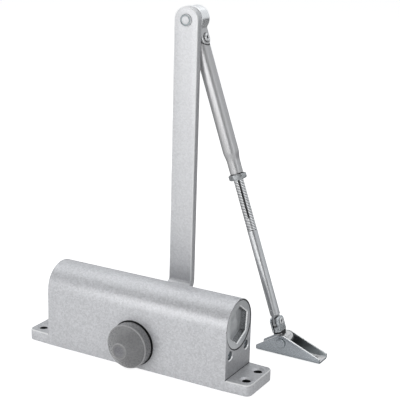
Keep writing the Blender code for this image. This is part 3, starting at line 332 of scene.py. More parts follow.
def new_group(name, inputs, outputs):
    """An empty node group with named number inputs and outputs, and its input and output nodes."""
    group = bpy.data.node_groups.new(name, "ShaderNodeTree")
    for socket, value in inputs.items():
        made = group.interface.new_socket(name=socket, in_out="INPUT", socket_type="NodeSocketFloat")
        made.default_value = value
    for socket in outputs:
        group.interface.new_socket(name=socket, in_out="OUTPUT", socket_type="NodeSocketFloat")
    return group, group.nodes.new("NodeGroupInput"), group.nodes.new("NodeGroupOutput")


def add_node(tree, kind, inputs, **settings):
    """A shader node. Each input is named or numbered, and takes another node's output or a constant."""
    node = tree.nodes.new("ShaderNode" + kind)
    for key, value in settings.items():
        setattr(node, key, value)
    for key, value in inputs.items():
        if isinstance(value, bpy.types.NodeSocket):
            tree.links.new(value, node.inputs[key])
        else:
            node.inputs[key].default_value = value
    return node


def math_node(tree, operation, first, second):
    """A Math node; each operand is a socket or a number."""
    return add_node(tree, "Math", {0: first, 1: second}, operation=operation).outputs[0]


def weighted(tree, first, share, second, rest):
    """Two values added up, each times its own share."""
    parts = [math_node(tree, "MULTIPLY", *pair) for pair in ((first, share), (second, rest))]
    return math_node(tree, "ADD", *parts)


def noise_node(tree, place, scale, detail=2.0, roughness=0.5):
    """A noise texture's value at the place; its scale is a socket or a number."""
    inputs = {"Vector": place, "Scale": scale, "Detail": detail, "Roughness": roughness}
    return add_node(tree, "TexNoise", inputs).outputs["Fac"]


def object_place(tree):
    return tree.nodes.new("ShaderNodeTexCoord").outputs["Object"]


def distance_along(tree, direction, place):
    """How far a place lies in a direction."""
    return add_node(tree, "VectorMath", {0: place, 1: direction}, operation="DOT_PRODUCT").outputs["Value"]


def shades(tree, factor, dark, light, low=0.0, high=1.0):
    """A colour between dark and light as the factor goes from low to high."""
    ramp = add_node(tree, "ValToRGB", {0: factor})
    for stop, position, colour in zip(ramp.color_ramp.elements, (low, high), (dark, light)):
        stop.position = position
        stop.color = (*colour, 1.0)
    return ramp.outputs[0]


def spread_to(tree, factor, low, high, start=0.25, end=0.75):
    """A value from low to high as the factor goes from start to end."""
    inputs = {"Value": factor, "From Min": start, "From Max": end, "To Min": low, "To Max": high}
    return add_node(tree, "MapRange", inputs).outputs[0]


def bump(tree, height, strength, distance):
    inputs = {"Height": height, "Strength": strength, "Distance": distance}
    return add_node(tree, "Bump", inputs).outputs[0]


def make_flake_group():
    """Fine metal flake: cells of different brightness over a soft mottle, both about 0.5."""
    group, given, result = new_group("flake", {"Cells": 1400.0, "Mottle": 260.0}, ["Flake", "Cloud"])
    place = object_place(group)
    cells = add_node(group, "TexVoronoi", {"Vector": place, "Scale": given.outputs["Cells"]})
    brightness = add_node(group, "SeparateColor", {0: cells.outputs["Color"]})
    mottle = noise_node(group, place, given.outputs["Mottle"], 3.0, 0.6)
    flake = weighted(group, brightness.outputs["Red"], 0.55, mottle, 0.45)
    group.links.new(flake, result.inputs["Flake"])
    group.links.new(noise_node(group, place, 45.0), result.inputs["Cloud"])
    return group


def make_streak_group():
    """Fine drawing marks that run along one turned axis, about 0.5."""
    group, given, result = new_group("streak", {"Across": 2400.0, "Along": 60.0}, ["Streak"])
    group.interface.new_socket(name="Place", in_out="INPUT", socket_type="NodeSocketVector")
    across, along = given.outputs["Across"], given.outputs["Along"]
    spread = add_node(group, "CombineXYZ", {"X": across, "Y": across, "Z": along})
    factors = {0: given.outputs["Place"], 1: spread.outputs[0]}
    scaled = add_node(group, "VectorMath", factors, operation="MULTIPLY")
    group.links.new(noise_node(group, scaled.outputs[0], 1.0), result.inputs["Streak"])
    return group


FLAKE = make_flake_group()
STREAK = make_streak_group()


def drawing_marks(tree, turn):
    """The fine marks of drawn metal, along the axis that the turn brings upright."""
    turned = add_node(tree, "Mapping", {"Vector": object_place(tree), "Rotation": turn})
    marks = add_node(tree, "Group", {}, node_tree=STREAK)
    tree.links.new(turned.outputs[0], marks.inputs["Place"])
    return marks.outputs["Streak"]


def new_finish(name, metallic, **constants):
    """A material with its Principled shader, whose plain values are set on its own sockets."""
    material = bpy.data.materials.new(name)
    material.use_nodes = True
    shader = material.node_tree.nodes["Principled BSDF"]
    shader.inputs["Metallic"].default_value = metallic
    for socket, value in constants.items():
        shader.inputs[socket.replace("_", " ")].default_value = value
    return material, material.node_tree, shader


def tinted(colour, share):
    return tuple(min(1.0, part * share) for part in colour)


def dress(tree, shader, tone, marks, colour, contrast, roughness, relief):
    """The tone goes into the colour, and the marks into the roughness, a range, and the surface's relief, a
    strength and a height."""
    dark, light = tinted(colour, 1 - contrast), tinted(colour, 1 + contrast)
    tree.links.new(shades(tree, tone, dark, light, 0.25, 0.75), shader.inputs["Base Color"])
    tree.links.new(spread_to(tree, marks, *roughness), shader.inputs["Roughness"])
    tree.links.new(bump(tree, marks, *relief), shader.inputs["Normal"])


FLAKE_HEIGHT = 0.00005
STREAK_RELIEF = (0.2, 0.00003)


def speckled(name, colour, metallic, roughness, contrast=0.10, cells=1400.0, mottle=260.0, relief=0.25):
    """Sprayed or cast metal: flake in its colour, roughness and surface."""
    material, tree, shader = new_finish(name, metallic)
    grain = add_node(tree, "Group", {"Cells": cells, "Mottle": mottle}, node_tree=FLAKE)
    flake = grain.outputs["Flake"]
    tone = weighted(tree, flake, 0.8, grain.outputs["Cloud"], 0.2)
    between = (roughness - 0.05, roughness + 0.07)
    dress(tree, shader, tone, flake, colour, contrast, between, (relief, FLAKE_HEIGHT))
    return material


def drawn_steel(name, colour, metallic, roughness, matrix, contrast=0.10):
    """Plated bar: fine marks along the bar's own axis, and small clouds of plating."""
    material, tree, shader = new_finish(name, metallic)
    streak = drawing_marks(tree, matrix.to_3x3().transposed().to_euler())
    grain = add_node(tree, "Group", {"Cells": 1600.0, "Mottle": 300.0}, node_tree=FLAKE)
    tone = weighted(tree, streak, 0.6, grain.outputs["Flake"], 0.4)
    between = (roughness - 0.05, roughness + 0.08)
    dress(tree, shader, tone, streak, colour, contrast, between, STREAK_RELIEF)
    return material


def shaded_towards_foot(material, share, start, end):
    """Paints shade into a finish, darker towards the foot: its colour is only a share of itself where z is
    start.
    """
    tree = material.node_tree
    base = tree.nodes["Principled BSDF"].inputs["Base Color"]
    kept = spread_to(tree, distance_along(tree, (0, 0, 1), object_place(tree)), share, 1.0, start, end)
    scaled = add_node(tree, "VectorMath", {0: base.links[0].from_socket, "Scale": kept}, operation="SCALE")
    tree.links.new(scaled.outputs[0], base)
    return material


def shaded_channel_plate(name, dark, light, metallic, roughness, start, end):
    """Plate inside a channel: fine marks along X, and painted shade, darkest where x is start and lightest
    where it is end.
    """
    material, tree, shader = new_finish(name, metallic, Roughness=roughness)
    clear = spread_to(tree, distance_along(tree, (1, 0, 0), object_place(tree)), 0.0, 1.0, start, end)
    tone = weighted(tree, clear, 0.7, drawing_marks(tree, (0.0, math.pi / 2, 0.0)), 0.3)
    tree.links.new(shades(tree, tone, dark, light, 0.10, 0.90), shader.inputs["Base Color"])
    return material


# Each finish has its name, its colour, how metallic and how rough it is, and how much its tone varies
SPRAYED = {"cells": 900.0, "mottle": 420.0}
MOULDED = {"contrast": 0.015, "cells": 900.0, "mottle": 120.0, "relief": 0.015}
SILVER = (0.63, 0.635, 0.655)
PAINT = speckled("silver_paint", SILVER, 0.45, 0.42, 0.13, **SPRAYED)
ARM_PAINT = speckled("silver_paint_on_steel", (0.66, 0.665, 0.68), 0.45, 0.40, 0.08, **SPRAYED)
# A lighter, glossier copy of the arm paint for the knuckle: painted highlight
KNUCKLE_HIGHLIGHT_PAINT = speckled("knuckle_painted_highlight", (0.86, 0.87, 0.88), 0.9, 0.28, 0.04, relief=0.04, **SPRAYED)
# Near-white paint on the ears' and the arm's edges: painted highlight
EDGE_HIGHLIGHT_PAINT = speckled("painted_edge_highlight", (0.92, 0.925, 0.93), 0.20, 0.40, 0.01, relief=0.02, **SPRAYED)
# The tube's own paint, also put on the knuckle's cheeks as painted shade
TUBE_PAINT_AND_CHEEK_SHADE = speckled("tube_paint_and_cheek_shade", (0.51, 0.51, 0.515), 0.72, 0.33, 0.03, relief=0.05)
PLUG_ZINC = speckled("plug_zinc", (0.74, 0.755, 0.77), 0.65, 0.34, 0.05)
# Dark zinc on the plugs' socket walls: painted shade
SOCKET_WALL_SHADE = speckled("painted_socket_wall_shade", (0.24, 0.245, 0.25), 0.9, 0.28, 0.12)
ZINC = speckled("zinc_plate", (0.53, 0.565, 0.60), 0.85, 0.25, 0.04, relief=0.05)
NUT_ZINC = speckled("nut_zinc", (0.40, 0.415, 0.425), 0.85, 0.30, 0.10)
# Darker zinc on the rivets' rings and rims: painted shade
SHADE_ZINC = speckled("painted_shade_zinc", (0.28, 0.31, 0.32), 0.85, 0.32, 0.15)
# Near-white zinc on chamfers and cut edges: painted highlight
HIGHLIGHT_ZINC = speckled("painted_highlight_zinc", (0.97, 0.975, 0.98), 0.55, 0.26, 0.02, relief=0.05)
FLOOR_ZINC = speckled("sunlit_zinc_floor", (0.98, 0.985, 0.99), 0.1, 0.45, 0.02, relief=0.05)
RIVET_ZINC = speckled("rivet_zinc", (0.78, 0.79, 0.80), 0.5, 0.30, 0.06)
CLEVIS_ZINC = speckled("clevis_zinc", (0.60, 0.63, 0.65), 0.75, 0.28, 0.34)
BARREL_ZINC = speckled("barrel_zinc", (0.62, 0.62, 0.62), 1.0, 0.20, 0.30)
ROD_ZINC = drawn_steel("rod_zinc", (0.54, 0.55, 0.56), 0.85, 0.32, FOREARM)
# Near-white thread crests and near-black thread roots: painted highlight and painted shade
THREAD_CREST_HIGHLIGHT = speckled("thread_crest_painted_highlight", (0.86, 0.87, 0.88), 0.85, 0.24, 0.10)
THREAD_ROOT_SHADE = speckled("thread_root_painted_shade", (0.05, 0.05, 0.052), 0.5, 0.45, 0.2)
# Where the channel walls' painted shade is darkest, and where it is lightest
WALL_SHADED_END = SHOE_PIVOT.x + 0.008
WALL_LIT_END = SHOE_PIVOT.x + 0.032
WALL_SHADE_ZINC = shaded_channel_plate(
    "channel_wall_painted_shade", (0.13, 0.145, 0.15), (0.50, 0.53, 0.54), 0.85, 0.32, WALL_SHADED_END, WALL_LIT_END
)
STEEL = speckled("ground_steel", (0.50, 0.50, 0.51), 1.0, 0.30, 0.05)
SPRING_STEEL = speckled("oiled_spring_steel", (0.13, 0.13, 0.14), 0.9, 0.38, 0.12)
PLASTIC = speckled("grey_plastic", (0.245, 0.245, 0.25), 0.0, 0.26, **MOULDED)
# A lighter grey on the cap's shoulder and nose rim, painted highlight; a darker grey in its dimple, painted
# shade
PLASTIC_HIGHLIGHT = speckled("plastic_painted_highlight", (0.36, 0.36, 0.365), 0.0, 0.22, **MOULDED)
PLASTIC_DIMPLE_SHADE = speckled("gate_dimple_painted_shade", (0.215, 0.215, 0.23), 0.0, 0.28, **MOULDED)
RUBBER = speckled("black_rubber", (0.022, 0.022, 0.022), 0.0, 0.65, 0.2)
RECESS = speckled("shaded_recess", (0.012, 0.012, 0.013), 0.0, 0.6, 0.3)
# Near-black for the joint and corner lines, the bores and round the knuckle's screw: painted shade
JOINT_SHADE = speckled("painted_joint_shade", (0.06, 0.06, 0.063), 0.2, 0.5, 0.2)
# Dark grey on the valve holes' walls: painted shade
HOLE_WALL_SHADE = speckled("painted_hole_shade", (0.26, 0.27, 0.28), 0.5, 0.4, 0.2)

# ---------------------------------------- body

CORNER_ROUND = 0.0006
EAR_TOP = 0.0088
EAR_TAPER = 0.0008
EAR_CORNER = 0.0045
EAR_EDGE = 0.0007
EAR_SUNK = 0.00004
EAR_HOLE_FROM_BODY = 0.0124
EAR_HOLE_SPACING = 0.019
EAR_HOLE_RADIUS = 0.00325
EAR_SINK_RADIUS = 0.0050
EAR_SINK_DEPTH = 0.0014
PLUG_RIM_RADIUS = 0.0192
PLUG_RIM_DEPTH = 0.0022
PLUG_THREAD_RADIUS = 0.0177
PLUG_LENGTH = 0.015
BORE_RADIUS = 0.0165
BORE_LIP = 0.00035
SPINDLE_BORE_RADIUS = 0.0105
COVER_THREAD_RADIUS = 0.0146
COVER_DEPTH = 0.0087
SPINDLE_STEP_RADIUS = 0.0082
SPINDLE_STEP = (0.0153, 0.0163)
VALVE_PLACES = [Vector(JOINTS[f"{name}_valve_turn"]["pos_m"]) for name in ("closing", "latching")]
CAP_SEAT_RADIUS = 0.0183
CAP_SEAT_DEPTH = 0.0006
VALVE_MOUTH_RADIUS = 0.0035
VALVE_MOUTH_DEPTH = 0.0056
VALVE_BORE_RADIUS = 0.0025
VALVE_BORE_DEPTH = 0.025
CORNER_RELIEF = 0.0003
# The end faces: the housing's paint with painted shade, darker towards the ears
END_SHADE_PAINT = shaded_towards_foot(
    speckled("end_face_painted_shade", SILVER, 0.45, 0.42, 0.13, **SPRAYED), share=0.68, start=EAR_TOP, end=0.034
)
# The ear tops: a darker copy of the housing's paint, as painted shade
EAR_TOP_SHADE_PAINT = speckled("ear_top_painted_shade", (0.53, 0.535, 0.55), 0.45, 0.42, 0.13, **SPRAYED)


def make_ears():
    """The foot plate whose two ends are the screw ears."""
    ears = block("ears", (-EAR_END, EAR_SUNK - DEPTH, 0), (EAR_END, DEPTH - EAR_SUNK, EAR_TOP))
    beyond = BODY_END + EAR_CORNER
    edit(ears)
    for side in (-1, 1):
        bpy.ops.mesh.select_all(action="SELECT")
        bpy.ops.mesh.bisect(plane_co=(side * BODY_END, 0, 0), plane_no=(1, 0, 0))
    select("VERT", lambda place: abs(place.x) > beyond)
    bpy.ops.transform.resize(value=(1, 1 - EAR_TAPER / DEPTH, 1), center_override=(0, 0, 0))
    leave()
    bevel(ears, lambda a, b: abs(a.z - b.z) > EAR_TOP / 2 and abs(a.x) > beyond, EAR_CORNER, 8)

    def on_rim(a, b, height):
        outer = all(abs(place.x) > BODY_END - 0.001 and abs(place.z - height) < NEAR for place in (a, b))
        return outer and (abs(a.y + b.y) > 0.001 or min(abs(a.x), abs(b.x)) > beyond)

    bevel(ears, lambda a, b: on_rim(a, b, EAR_TOP), EAR_EDGE)
    bevel(ears, lambda a, b: on_rim(a, b, 0.0), CORNER_ROUND / 2)
    return ears


def make_housing():
    """The casting: a round back, the ears, the plugs' and the spindle's bores, and every screw hole."""
    housing = block("housing_shell", (-BODY_END, -DEPTH, 0), (BODY_END, DEPTH, BODY_TOP))
    bevel(housing, running(X, BODY_END, above=BORE_Z), DEPTH - SEAM, 24)

    def on_end(a, b):
        return a.x * b.x > 0 and min(abs(a.x), abs(b.x)) > BODY_END - NEAR and max(a.z, b.z) > EAR_TOP

    bevel(housing, on_end, CORNER_ROUND)
    weld(housing, make_ears())
    step = BODY_END - PLUG_RIM_DEPTH
    seat = BODY_END - PLUG_LENGTH - GAP
    half = [
        (PLUG_RIM_RADIUS + BORE_LIP + 0.002, BODY_END + 0.002),
        (PLUG_RIM_RADIUS, BODY_END - BORE_LIP),
        (PLUG_RIM_RADIUS, step),
        (PLUG_THREAD_RADIUS, step),
        (PLUG_THREAD_RADIUS, seat),
        (BORE_RADIUS, seat),
    ]
    carve(housing, drawn("bore", [*half, *flipped(half)], 64, at((0, 0, BORE_Z)) @ ALONG_X))
    chamber = [
        (CAP_SEAT_RADIUS, -DEPTH - 0.002),
        (CAP_SEAT_RADIUS, CAP_SEAT_DEPTH - DEPTH),
        (COVER_THREAD_RADIUS, CAP_SEAT_DEPTH - DEPTH),
        (COVER_THREAD_RADIUS, COVER_DEPTH),
        (SPINDLE_BORE_RADIUS, COVER_DEPTH),
        (SPINDLE_BORE_RADIUS, SPINDLE_STEP[0]),
        (SPINDLE_STEP_RADIUS, SPINDLE_STEP[0]),
        (SPINDLE_STEP_RADIUS, SPINDLE_STEP[1]),
        (SPINDLE_BORE_RADIUS, SPINDLE_STEP[1]),
        (SPINDLE_BORE_RADIUS, DEPTH - 0.0003),
        (SPINDLE_BORE_RADIUS + 0.0008, DEPTH + 0.0005),
    ]
    carve(housing, drawn("chamber", chamber, 48, at(SPINDLE) @ ALONG_Y))
    mouth = BODY_END - VALVE_MOUTH_DEPTH
    valve_hole = [
        (VALVE_BORE_RADIUS, BODY_END - VALVE_BORE_DEPTH),
        (VALVE_BORE_RADIUS, mouth),
        (VALVE_MOUTH_RADIUS, mouth),
        (VALVE_MOUTH_RADIUS, BODY_END - 0.0006),
        (VALVE_MOUTH_RADIUS + 0.0012, BODY_END + 0.0006),
    ]
    for place in VALVE_PLACES:
        carve(housing, drawn("valve_hole", valve_hole, 32, at((0, place.y, place.z)) @ ALONG_X))
    for end in (-1, 1):
        low = (end * BODY_END - CORNER_RELIEF, -DEPTH - 0.001, EAR_TOP - CORNER_RELIEF)
        high = (end * BODY_END + CORNER_RELIEF, DEPTH + 0.001, EAR_TOP + CORNER_RELIEF)
        carve(housing, block("corner_relief", low, high))
    ear_hole = [
        (EAR_HOLE_RADIUS, -0.002),
        (EAR_HOLE_RADIUS, EAR_TOP - EAR_SINK_DEPTH),
        (EAR_SINK_RADIUS, EAR_TOP),
        (EAR_SINK_RADIUS, EAR_TOP + 0.002),
    ]
    for end in (-1, 1):
        for side in (-1, 1):
            place = (end * (BODY_END + EAR_HOLE_FROM_BODY), side * EAR_HOLE_SPACING / 2, 0)
            carve(housing, drawn("ear_hole", ear_hole, 32, at(place)))
    finish_housing(housing)


def from_ear_hole(place):
    """How far a place lies from the axis of the ear hole nearest to it."""
    along = abs(place.x) - BODY_END - EAR_HOLE_FROM_BODY
    return math.hypot(along, abs(place.y) - EAR_HOLE_SPACING / 2)


def from_valve_hole(place):
    valve = VALVE_PLACES[0]
    return math.hypot(abs(place.y) - abs(valve.y), place.z - valve.z)


def from_bore(place):
    return math.hypot(place.y, place.z - BORE_Z)


def finish_housing(housing):
    """Paint, with painted highlights on the ears' edges and the valve holes' chamfers, and painted shade on
    the end faces, ear tops, joint lines and the walls of every hole and seat.
    """

    def is_end_face(place, normal):
        return abs(normal.x) > 0.97 and abs(abs(place.x) - BODY_END) < NEAR and place.z > EAR_TOP

    def is_ear_top(place, normal):
        return normal.z > 0.97 and abs(place.z - EAR_TOP) < NEAR and abs(place.x) > BODY_END

    def is_ear_edge(place, normal):
        on_top = place.z > EAR_TOP - EAR_EDGE - NEAR and abs(place.x) > BODY_END + 0.0005
        return on_top and 0.25 < normal.z < 0.97 and from_ear_hole(place) > EAR_SINK_RADIUS + NEAR

    def is_corner_relief(place, normal):
        aside = max(abs(abs(place.x) - BODY_END), abs(place.z - EAR_TOP))
        return aside < CORNER_RELIEF + NEAR and abs(place.y) < DEPTH + NEAR

    def is_ear_hole(place, normal):
        return abs(normal.z) < 0.2 and from_ear_hole(place) < EAR_HOLE_RADIUS + NEAR

    def is_bore_lip(place, normal):
        near = abs(place.x) > BODY_END - 0.001 and from_bore(place) < PLUG_RIM_RADIUS + 0.0006
        return near and abs(normal.x) < 0.95

    def is_bore(place, normal):
        inside = abs(place.x) < BODY_END - 0.001 and abs(place.y) < PLUG_RIM_RADIUS
        return inside and from_bore(place) < PLUG_RIM_RADIUS + NEAR

    def is_valve_wall(place, normal):
        return abs(place.x) < BODY_END - 0.0005 and from_valve_hole(place) < VALVE_MOUTH_RADIUS + NEAR

    def is_valve_chamfer(place, normal):
        near = abs(place.x) > BODY_END - 0.0007 and 0.2 < abs(normal.x) < 0.95
        low = place.z < VALVE_PLACES[0].z - VALVE_MOUTH_RADIUS / 2
        return near and low and from_valve_hole(place) < VALVE_MOUTH_RADIUS + 0.0013

    def is_cap_seat(place, normal):
        inside = abs(place.y) < DEPTH - NEAR and place.z < BORE_Z
        return inside and math.hypot(place.x, place.z - SPINDLE.z) < CAP_SEAT_RADIUS + NEAR

    finish_piece(
        housing,
        Matrix(),
        "housing",
        "housing_paint",
        PAINT,
        (is_end_face, END_SHADE_PAINT),
        (is_ear_top, EAR_TOP_SHADE_PAINT),
        (is_ear_edge, EDGE_HIGHLIGHT_PAINT),
        (is_corner_relief, JOINT_SHADE),
        (is_ear_hole, RECESS),
        (is_bore_lip, JOINT_SHADE),
        (is_bore, JOINT_SHADE),
        (is_valve_wall, HOLE_WALL_SHADE),
        (is_valve_chamfer, HIGHLIGHT_ZINC),
        (is_cap_seat, RECESS),
        degrees=25.0,
    )


SOCKET_FLATS = 0.0251
SOCKET_DEPTH = 0.0053
SOCKET_LEAD = 0.0008
SOCKET_TURN = math.radians(-6.0)
PLUG_EDGE = 0.0005
PLUG_CUP_RADIUS = 0.0146
PLUG_CUP_DEPTH = 0.007
PLUG_SEAL_START = 0.0018
PLUG_SEAL_DEPTH = 0.0018
PLUG_SEAL_WIDTH = 0.0024


def hex_cutter(flats, low, high, widening=0.0):
    """A six-sided cutter with a flat to the side; widening is how much further out its top corners are."""
    radius = flats / math.sqrt(3)
    middle = (0, 0, (low + high) / 2)
    bpy.ops.mesh.primitive_cone_add(
        vertices=6, radius1=radius, radius2=radius + widening, depth=high - low, location=middle
    )
    return named("hex_cutter")


def make_end_plug(node, facing):
    """A screwed plug: rim, thread with its seal's groove, a cup inside and a big hexagon socket outside."""
    face = BODY_END - GAP
    rim = PLUG_RIM_RADIUS - GAP
    thread = PLUG_THREAD_RADIUS - GAP
    inner = BODY_END - PLUG_LENGTH
    shoulder = BODY_END - PLUG_RIM_DEPTH + GAP
    groove = inner + PLUG_SEAL_START
    stations = [
        (PLUG_CUP_RADIUS, inner),
        (thread, inner),
        (thread, groove),
        (thread - PLUG_SEAL_DEPTH, groove),
        (thread - PLUG_SEAL_DEPTH, groove + PLUG_SEAL_WIDTH),
        (thread, groove + PLUG_SEAL_WIDTH),
        (thread, shoulder),
        (rim, shoulder),
        *arc((rim - PLUG_EDGE, face - PLUG_EDGE), PLUG_EDGE, 0, 90, 4),
    ]
    plug = drawn(f"{node}_turned", stations, 64)
    carve(plug, drawn("cup", [(PLUG_CUP_RADIUS, inner - 0.002), (PLUG_CUP_RADIUS, inner + PLUG_CUP_DEPTH)]))
    turn = Matrix.Rotation(SOCKET_TURN + math.pi / 6, 4, "Z")
    socket = hex_cutter(SOCKET_FLATS, face - SOCKET_DEPTH, face + 0.002)
    carve(plug, move(socket, turn))
    lead = hex_cutter(SOCKET_FLATS - 0.0002, face - SOCKET_LEAD, face + SOCKET_LEAD, 2.4 * SOCKET_LEAD)
    carve(plug, move(lead, turn))
    drill = [(0.0001, face - SOCKET_DEPTH - 0.0012), (0.0045, face - SOCKET_DEPTH + 0.0002)]
    carve(plug, drawn("drill_mark", drill, 32))

    def is_outside(place, normal):
        return place.xy.length > thread - 0.001 and abs(normal.z) < 0.9 and place.z < face

    def is_socket_wall(place, normal):
        inside = place.xy.length < thread - 0.002 and place.z > face - SOCKET_DEPTH
        return inside and abs(normal.z) < 0.1

    def is_socket_lead(place, normal):
        return 0.1 < abs(normal.z) < 0.95 and place.xy.length < thread - 0.001 and place.z > face - 0.0012

    # The plug's outside and rim round get near-black painted joint shade, its socket's walls painted shade
    # and its socket's lead chamfer a painted highlight.
    zones = ((is_outside, JOINT_SHADE), (is_socket_wall, SOCKET_WALL_SHADE), (is_socket_lead, HIGHLIGHT_ZINC))
    finish_piece(plug, at((0, 0, BORE_Z)) @ facing, node, "plug_zinc", PLUG_ZINC, *zones)


CAP_LOW, CAP_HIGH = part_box("spindle_cap")
CAP_REAR = -CAP_HIGH.y
CAP_FRONT = -CAP_LOW.y
CAP_RADIUS = (CAP_HIGH.x - CAP_LOW.x) / 2
CAP_SHOULDER = CAP_REAR + 0.0077
CAP_SKIRT = 0.0146
CAP_WALL = 0.0018
CAP_EDGE = 0.00045
CAP_NOSE = 0.0064
CAP_NOSE_HEIGHT = 0.0008
CAP_FULLNESS = 0.00036
CAP_STEPS = 8


def make_cap():
    """A moulded cap: skirt, a crisp shoulder, a slightly full cone and a raised nose with a gate dimple."""
    nose_foot = CAP_FRONT - CAP_NOSE_HEIGHT
    wide, low = CAP_RADIUS - 0.0009, CAP_SHOULDER + 0.0002
    narrow = CAP_NOSE + 0.0003
    cone = []
    for step in range(1, CAP_STEPS):
        share = step / CAP_STEPS
        full = CAP_FULLNESS * math.sin(math.pi * share)
        cone.append((wide + (narrow - wide) * share + full, low + (nose_foot - low) * share + full))
    stations = [
        (CAP_NOSE - 0.0012, CAP_FRONT - CAP_WALL),
        (CAP_SKIRT, CAP_SHOULDER - 0.0002),
        (CAP_SKIRT, CAP_REAR),
        *arc((CAP_RADIUS - CAP_EDGE, CAP_REAR + CAP_EDGE), CAP_EDGE, -90, 0, 3),
        *arc((CAP_RADIUS - 0.0006, CAP_SHOULDER - 0.0004), 0.0006, 0, 80, 5),
        (CAP_RADIUS - 0.0011, CAP_SHOULDER + 0.00015),
        *cone,
        (CAP_NOSE + 0.0001, nose_foot),
        (CAP_NOSE, nose_foot + 0.0002),
        *arc((CAP_NOSE - 0.0007, CAP_FRONT - 0.0006), 0.0006, 10, 90, 4),
        (0.0042, CAP_FRONT),
        (0.0036, CAP_FRONT - 0.00015),
        (0.0026, CAP_FRONT - 0.0006),
        (0.0014, CAP_FRONT - 0.0008),
        (0.0005, CAP_FRONT - 0.0008),
    ]
    cap = drawn("spindle_cap_moulded", stations, 72)

    def is_shoulder(place, normal):
        return wide < place.xy.length and abs(place.z - CAP_SHOULDER) < 0.0005

    def is_nose_rim(place, normal):
        return CAP_NOSE - 0.0009 < place.xy.length < narrow and place.z > nose_foot - 0.0003

    def is_dimple(place, normal):
        return place.xy.length < 0.0040 and place.z > CAP_FRONT - 0.0010

    matrix = at(SPINDLE) @ ALONG_Y.inverted()
    # The shoulder and the nose's rim get a lighter grey as painted highlight, and the gate dimple a darker
    # grey as painted shade.
    zones = ((is_shoulder, PLASTIC_HIGHLIGHT), (is_nose_rim, PLASTIC_HIGHLIGHT), (is_dimple, PLASTIC_DIMPLE_SHADE))
    finish_piece(cap, matrix, "spindle_cap", "grey_plastic", PLASTIC, *zones, degrees=28.0)


SPRING_WIRE_RADIUS = 0.0016
SPRING_TURNS = 9
SPRING_STEPS = 36


def make_spring():
    """The coil that the piston presses against the left plug."""
    low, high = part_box("return_spring")
    wire = SPRING_WIRE_RADIUS
    coil = (high.y - low.y) / 2 - wire
    length = high.x - low.x
    bpy.ops.mesh.primitive_circle_add(
        vertices=14, radius=wire, location=(coil, 0, wire), rotation=(math.pi / 2, 0, 0)
    )
    spring = named("return_spring_wound")
    wind(spring, (length - 2 * wire) / SPRING_TURNS, SPRING_TURNS, SPRING_STEPS)
    end = (low.x, 0, BORE_Z)
    finish_piece(spring, at(end) @ ALONG_X, "return_spring", "spring_steel", SPRING_STEEL)
    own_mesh(spring)


# ---------------------------------------- main arm and its fasteners

ARM_WIDTH = 0.0208
ARM_THICKNESS = 0.0062
ARM_FOOT_MIDDLE = DEPTH + 0.0013 + ARM_THICKNESS / 2
ARM_MIDDLE = DEPTH + 0.0295 + ARM_THICKNESS / 2
CRANK_START = 0.0104
CRANK_RISE = 0.0173
CRANK_BEND = 0.0025 + ARM_THICKNESS / 2
ARM_EDGE = 0.0008
END_FLAT = 0.0001
ELBOW_HOLE_RADIUS = 0.0042
SQUARE_HOLE = 0.0108
SQUARE_HOLE_CORNER = 0.0009


def make_arm():
    """A flat bar, bent twice by its foot, with round ends and rolled edges."""
    slant = math.atan2(ARM_MIDDLE - ARM_FOOT_MIDDLE, CRANK_RISE)
    tangent = CRANK_BEND * math.tan(slant / 2)
    half = ARM_WIDTH / 2
    first = CRANK_START - tangent
    second = CRANK_START + CRANK_RISE + tangent
    run = math.hypot(ARM_MIDDLE - ARM_FOOT_MIDDLE, CRANK_RISE) - 2 * tangent
    low = (-half, ARM_FOOT_MIDDLE - ARM_THICKNESS / 2, -half)
    arm = block("main_arm_bar", low, (half, ARM_FOOT_MIDDLE + ARM_THICKNESS / 2, first))
    edit(arm)
    select("FACE", lambda centre, normal: normal.z > 0.9)
    bends = (
        (slant, (0, ARM_FOOT_MIDDLE + CRANK_BEND, first), (0, run * math.sin(slant), run * math.cos(slant))),
        (-slant, (0, ARM_MIDDLE - CRANK_BEND, second), (0, 0, ARM_LENGTH + half - second)),
    )
    for angle, centre, onward in bends:
        bpy.ops.mesh.spin(steps=8, angle=angle, center=centre, axis=(1, 0, 0))
        bpy.ops.mesh.extrude_region_move(TRANSFORM_OT_translate=by(onward))
    merge_points()
    face_outward()
    leave()

    def on_corner(a, b):
        outer = a.z < NEAR - half or a.z > ARM_LENGTH + half - NEAR
        return outer and abs(a.x - b.x) < NEAR and abs(a.z - b.z) < NEAR

    bevel(arm, on_corner, half - END_FLAT, 14)
    soften(arm, ARM_EDGE)
    elbow = at((0, 0, ARM_LENGTH)) @ ALONG_Y
    carve(arm, pin_cutter(ELBOW_HOLE_RADIUS, ARM_MIDDLE - 0.01, ARM_MIDDLE + 0.01, elbow))
    side = SQUARE_HOLE / 2
    hole = block("square_hole", (-side, DEPTH, -side), (side, ARM_FOOT_MIDDLE + 0.01, side))
    bevel(hole, running(Y, 0.005), SQUARE_HOLE_CORNER)
    carve(arm, hole)

    def is_rolled_edge(place, normal):
        return 0.2 < abs(normal.y) < 0.97 and place.z > second

    # The upper bar's rolled edges get a near-white paint as a painted highlight.
    finish_piece(arm, ARM, "main_arm", "arm_paint", ARM_PAINT, (is_rolled_edge, EDGE_HIGHLIGHT_PAINT))


ELBOW_PIN_RADIUS = 0.0039
RIVET_HEAD_RADIUS = 0.0049
RIVET_HEAD_HEIGHT = 0.0008
RIVET_DISC_RADIUS = 0.0032
RIVET_RING_RADIUS = 0.0044
RIVET_RING_DEPTH = 0.0005
BARREL_LENGTH = 0.0118
BARREL_FRONT = ELBOW.y - BARREL_LENGTH / 2


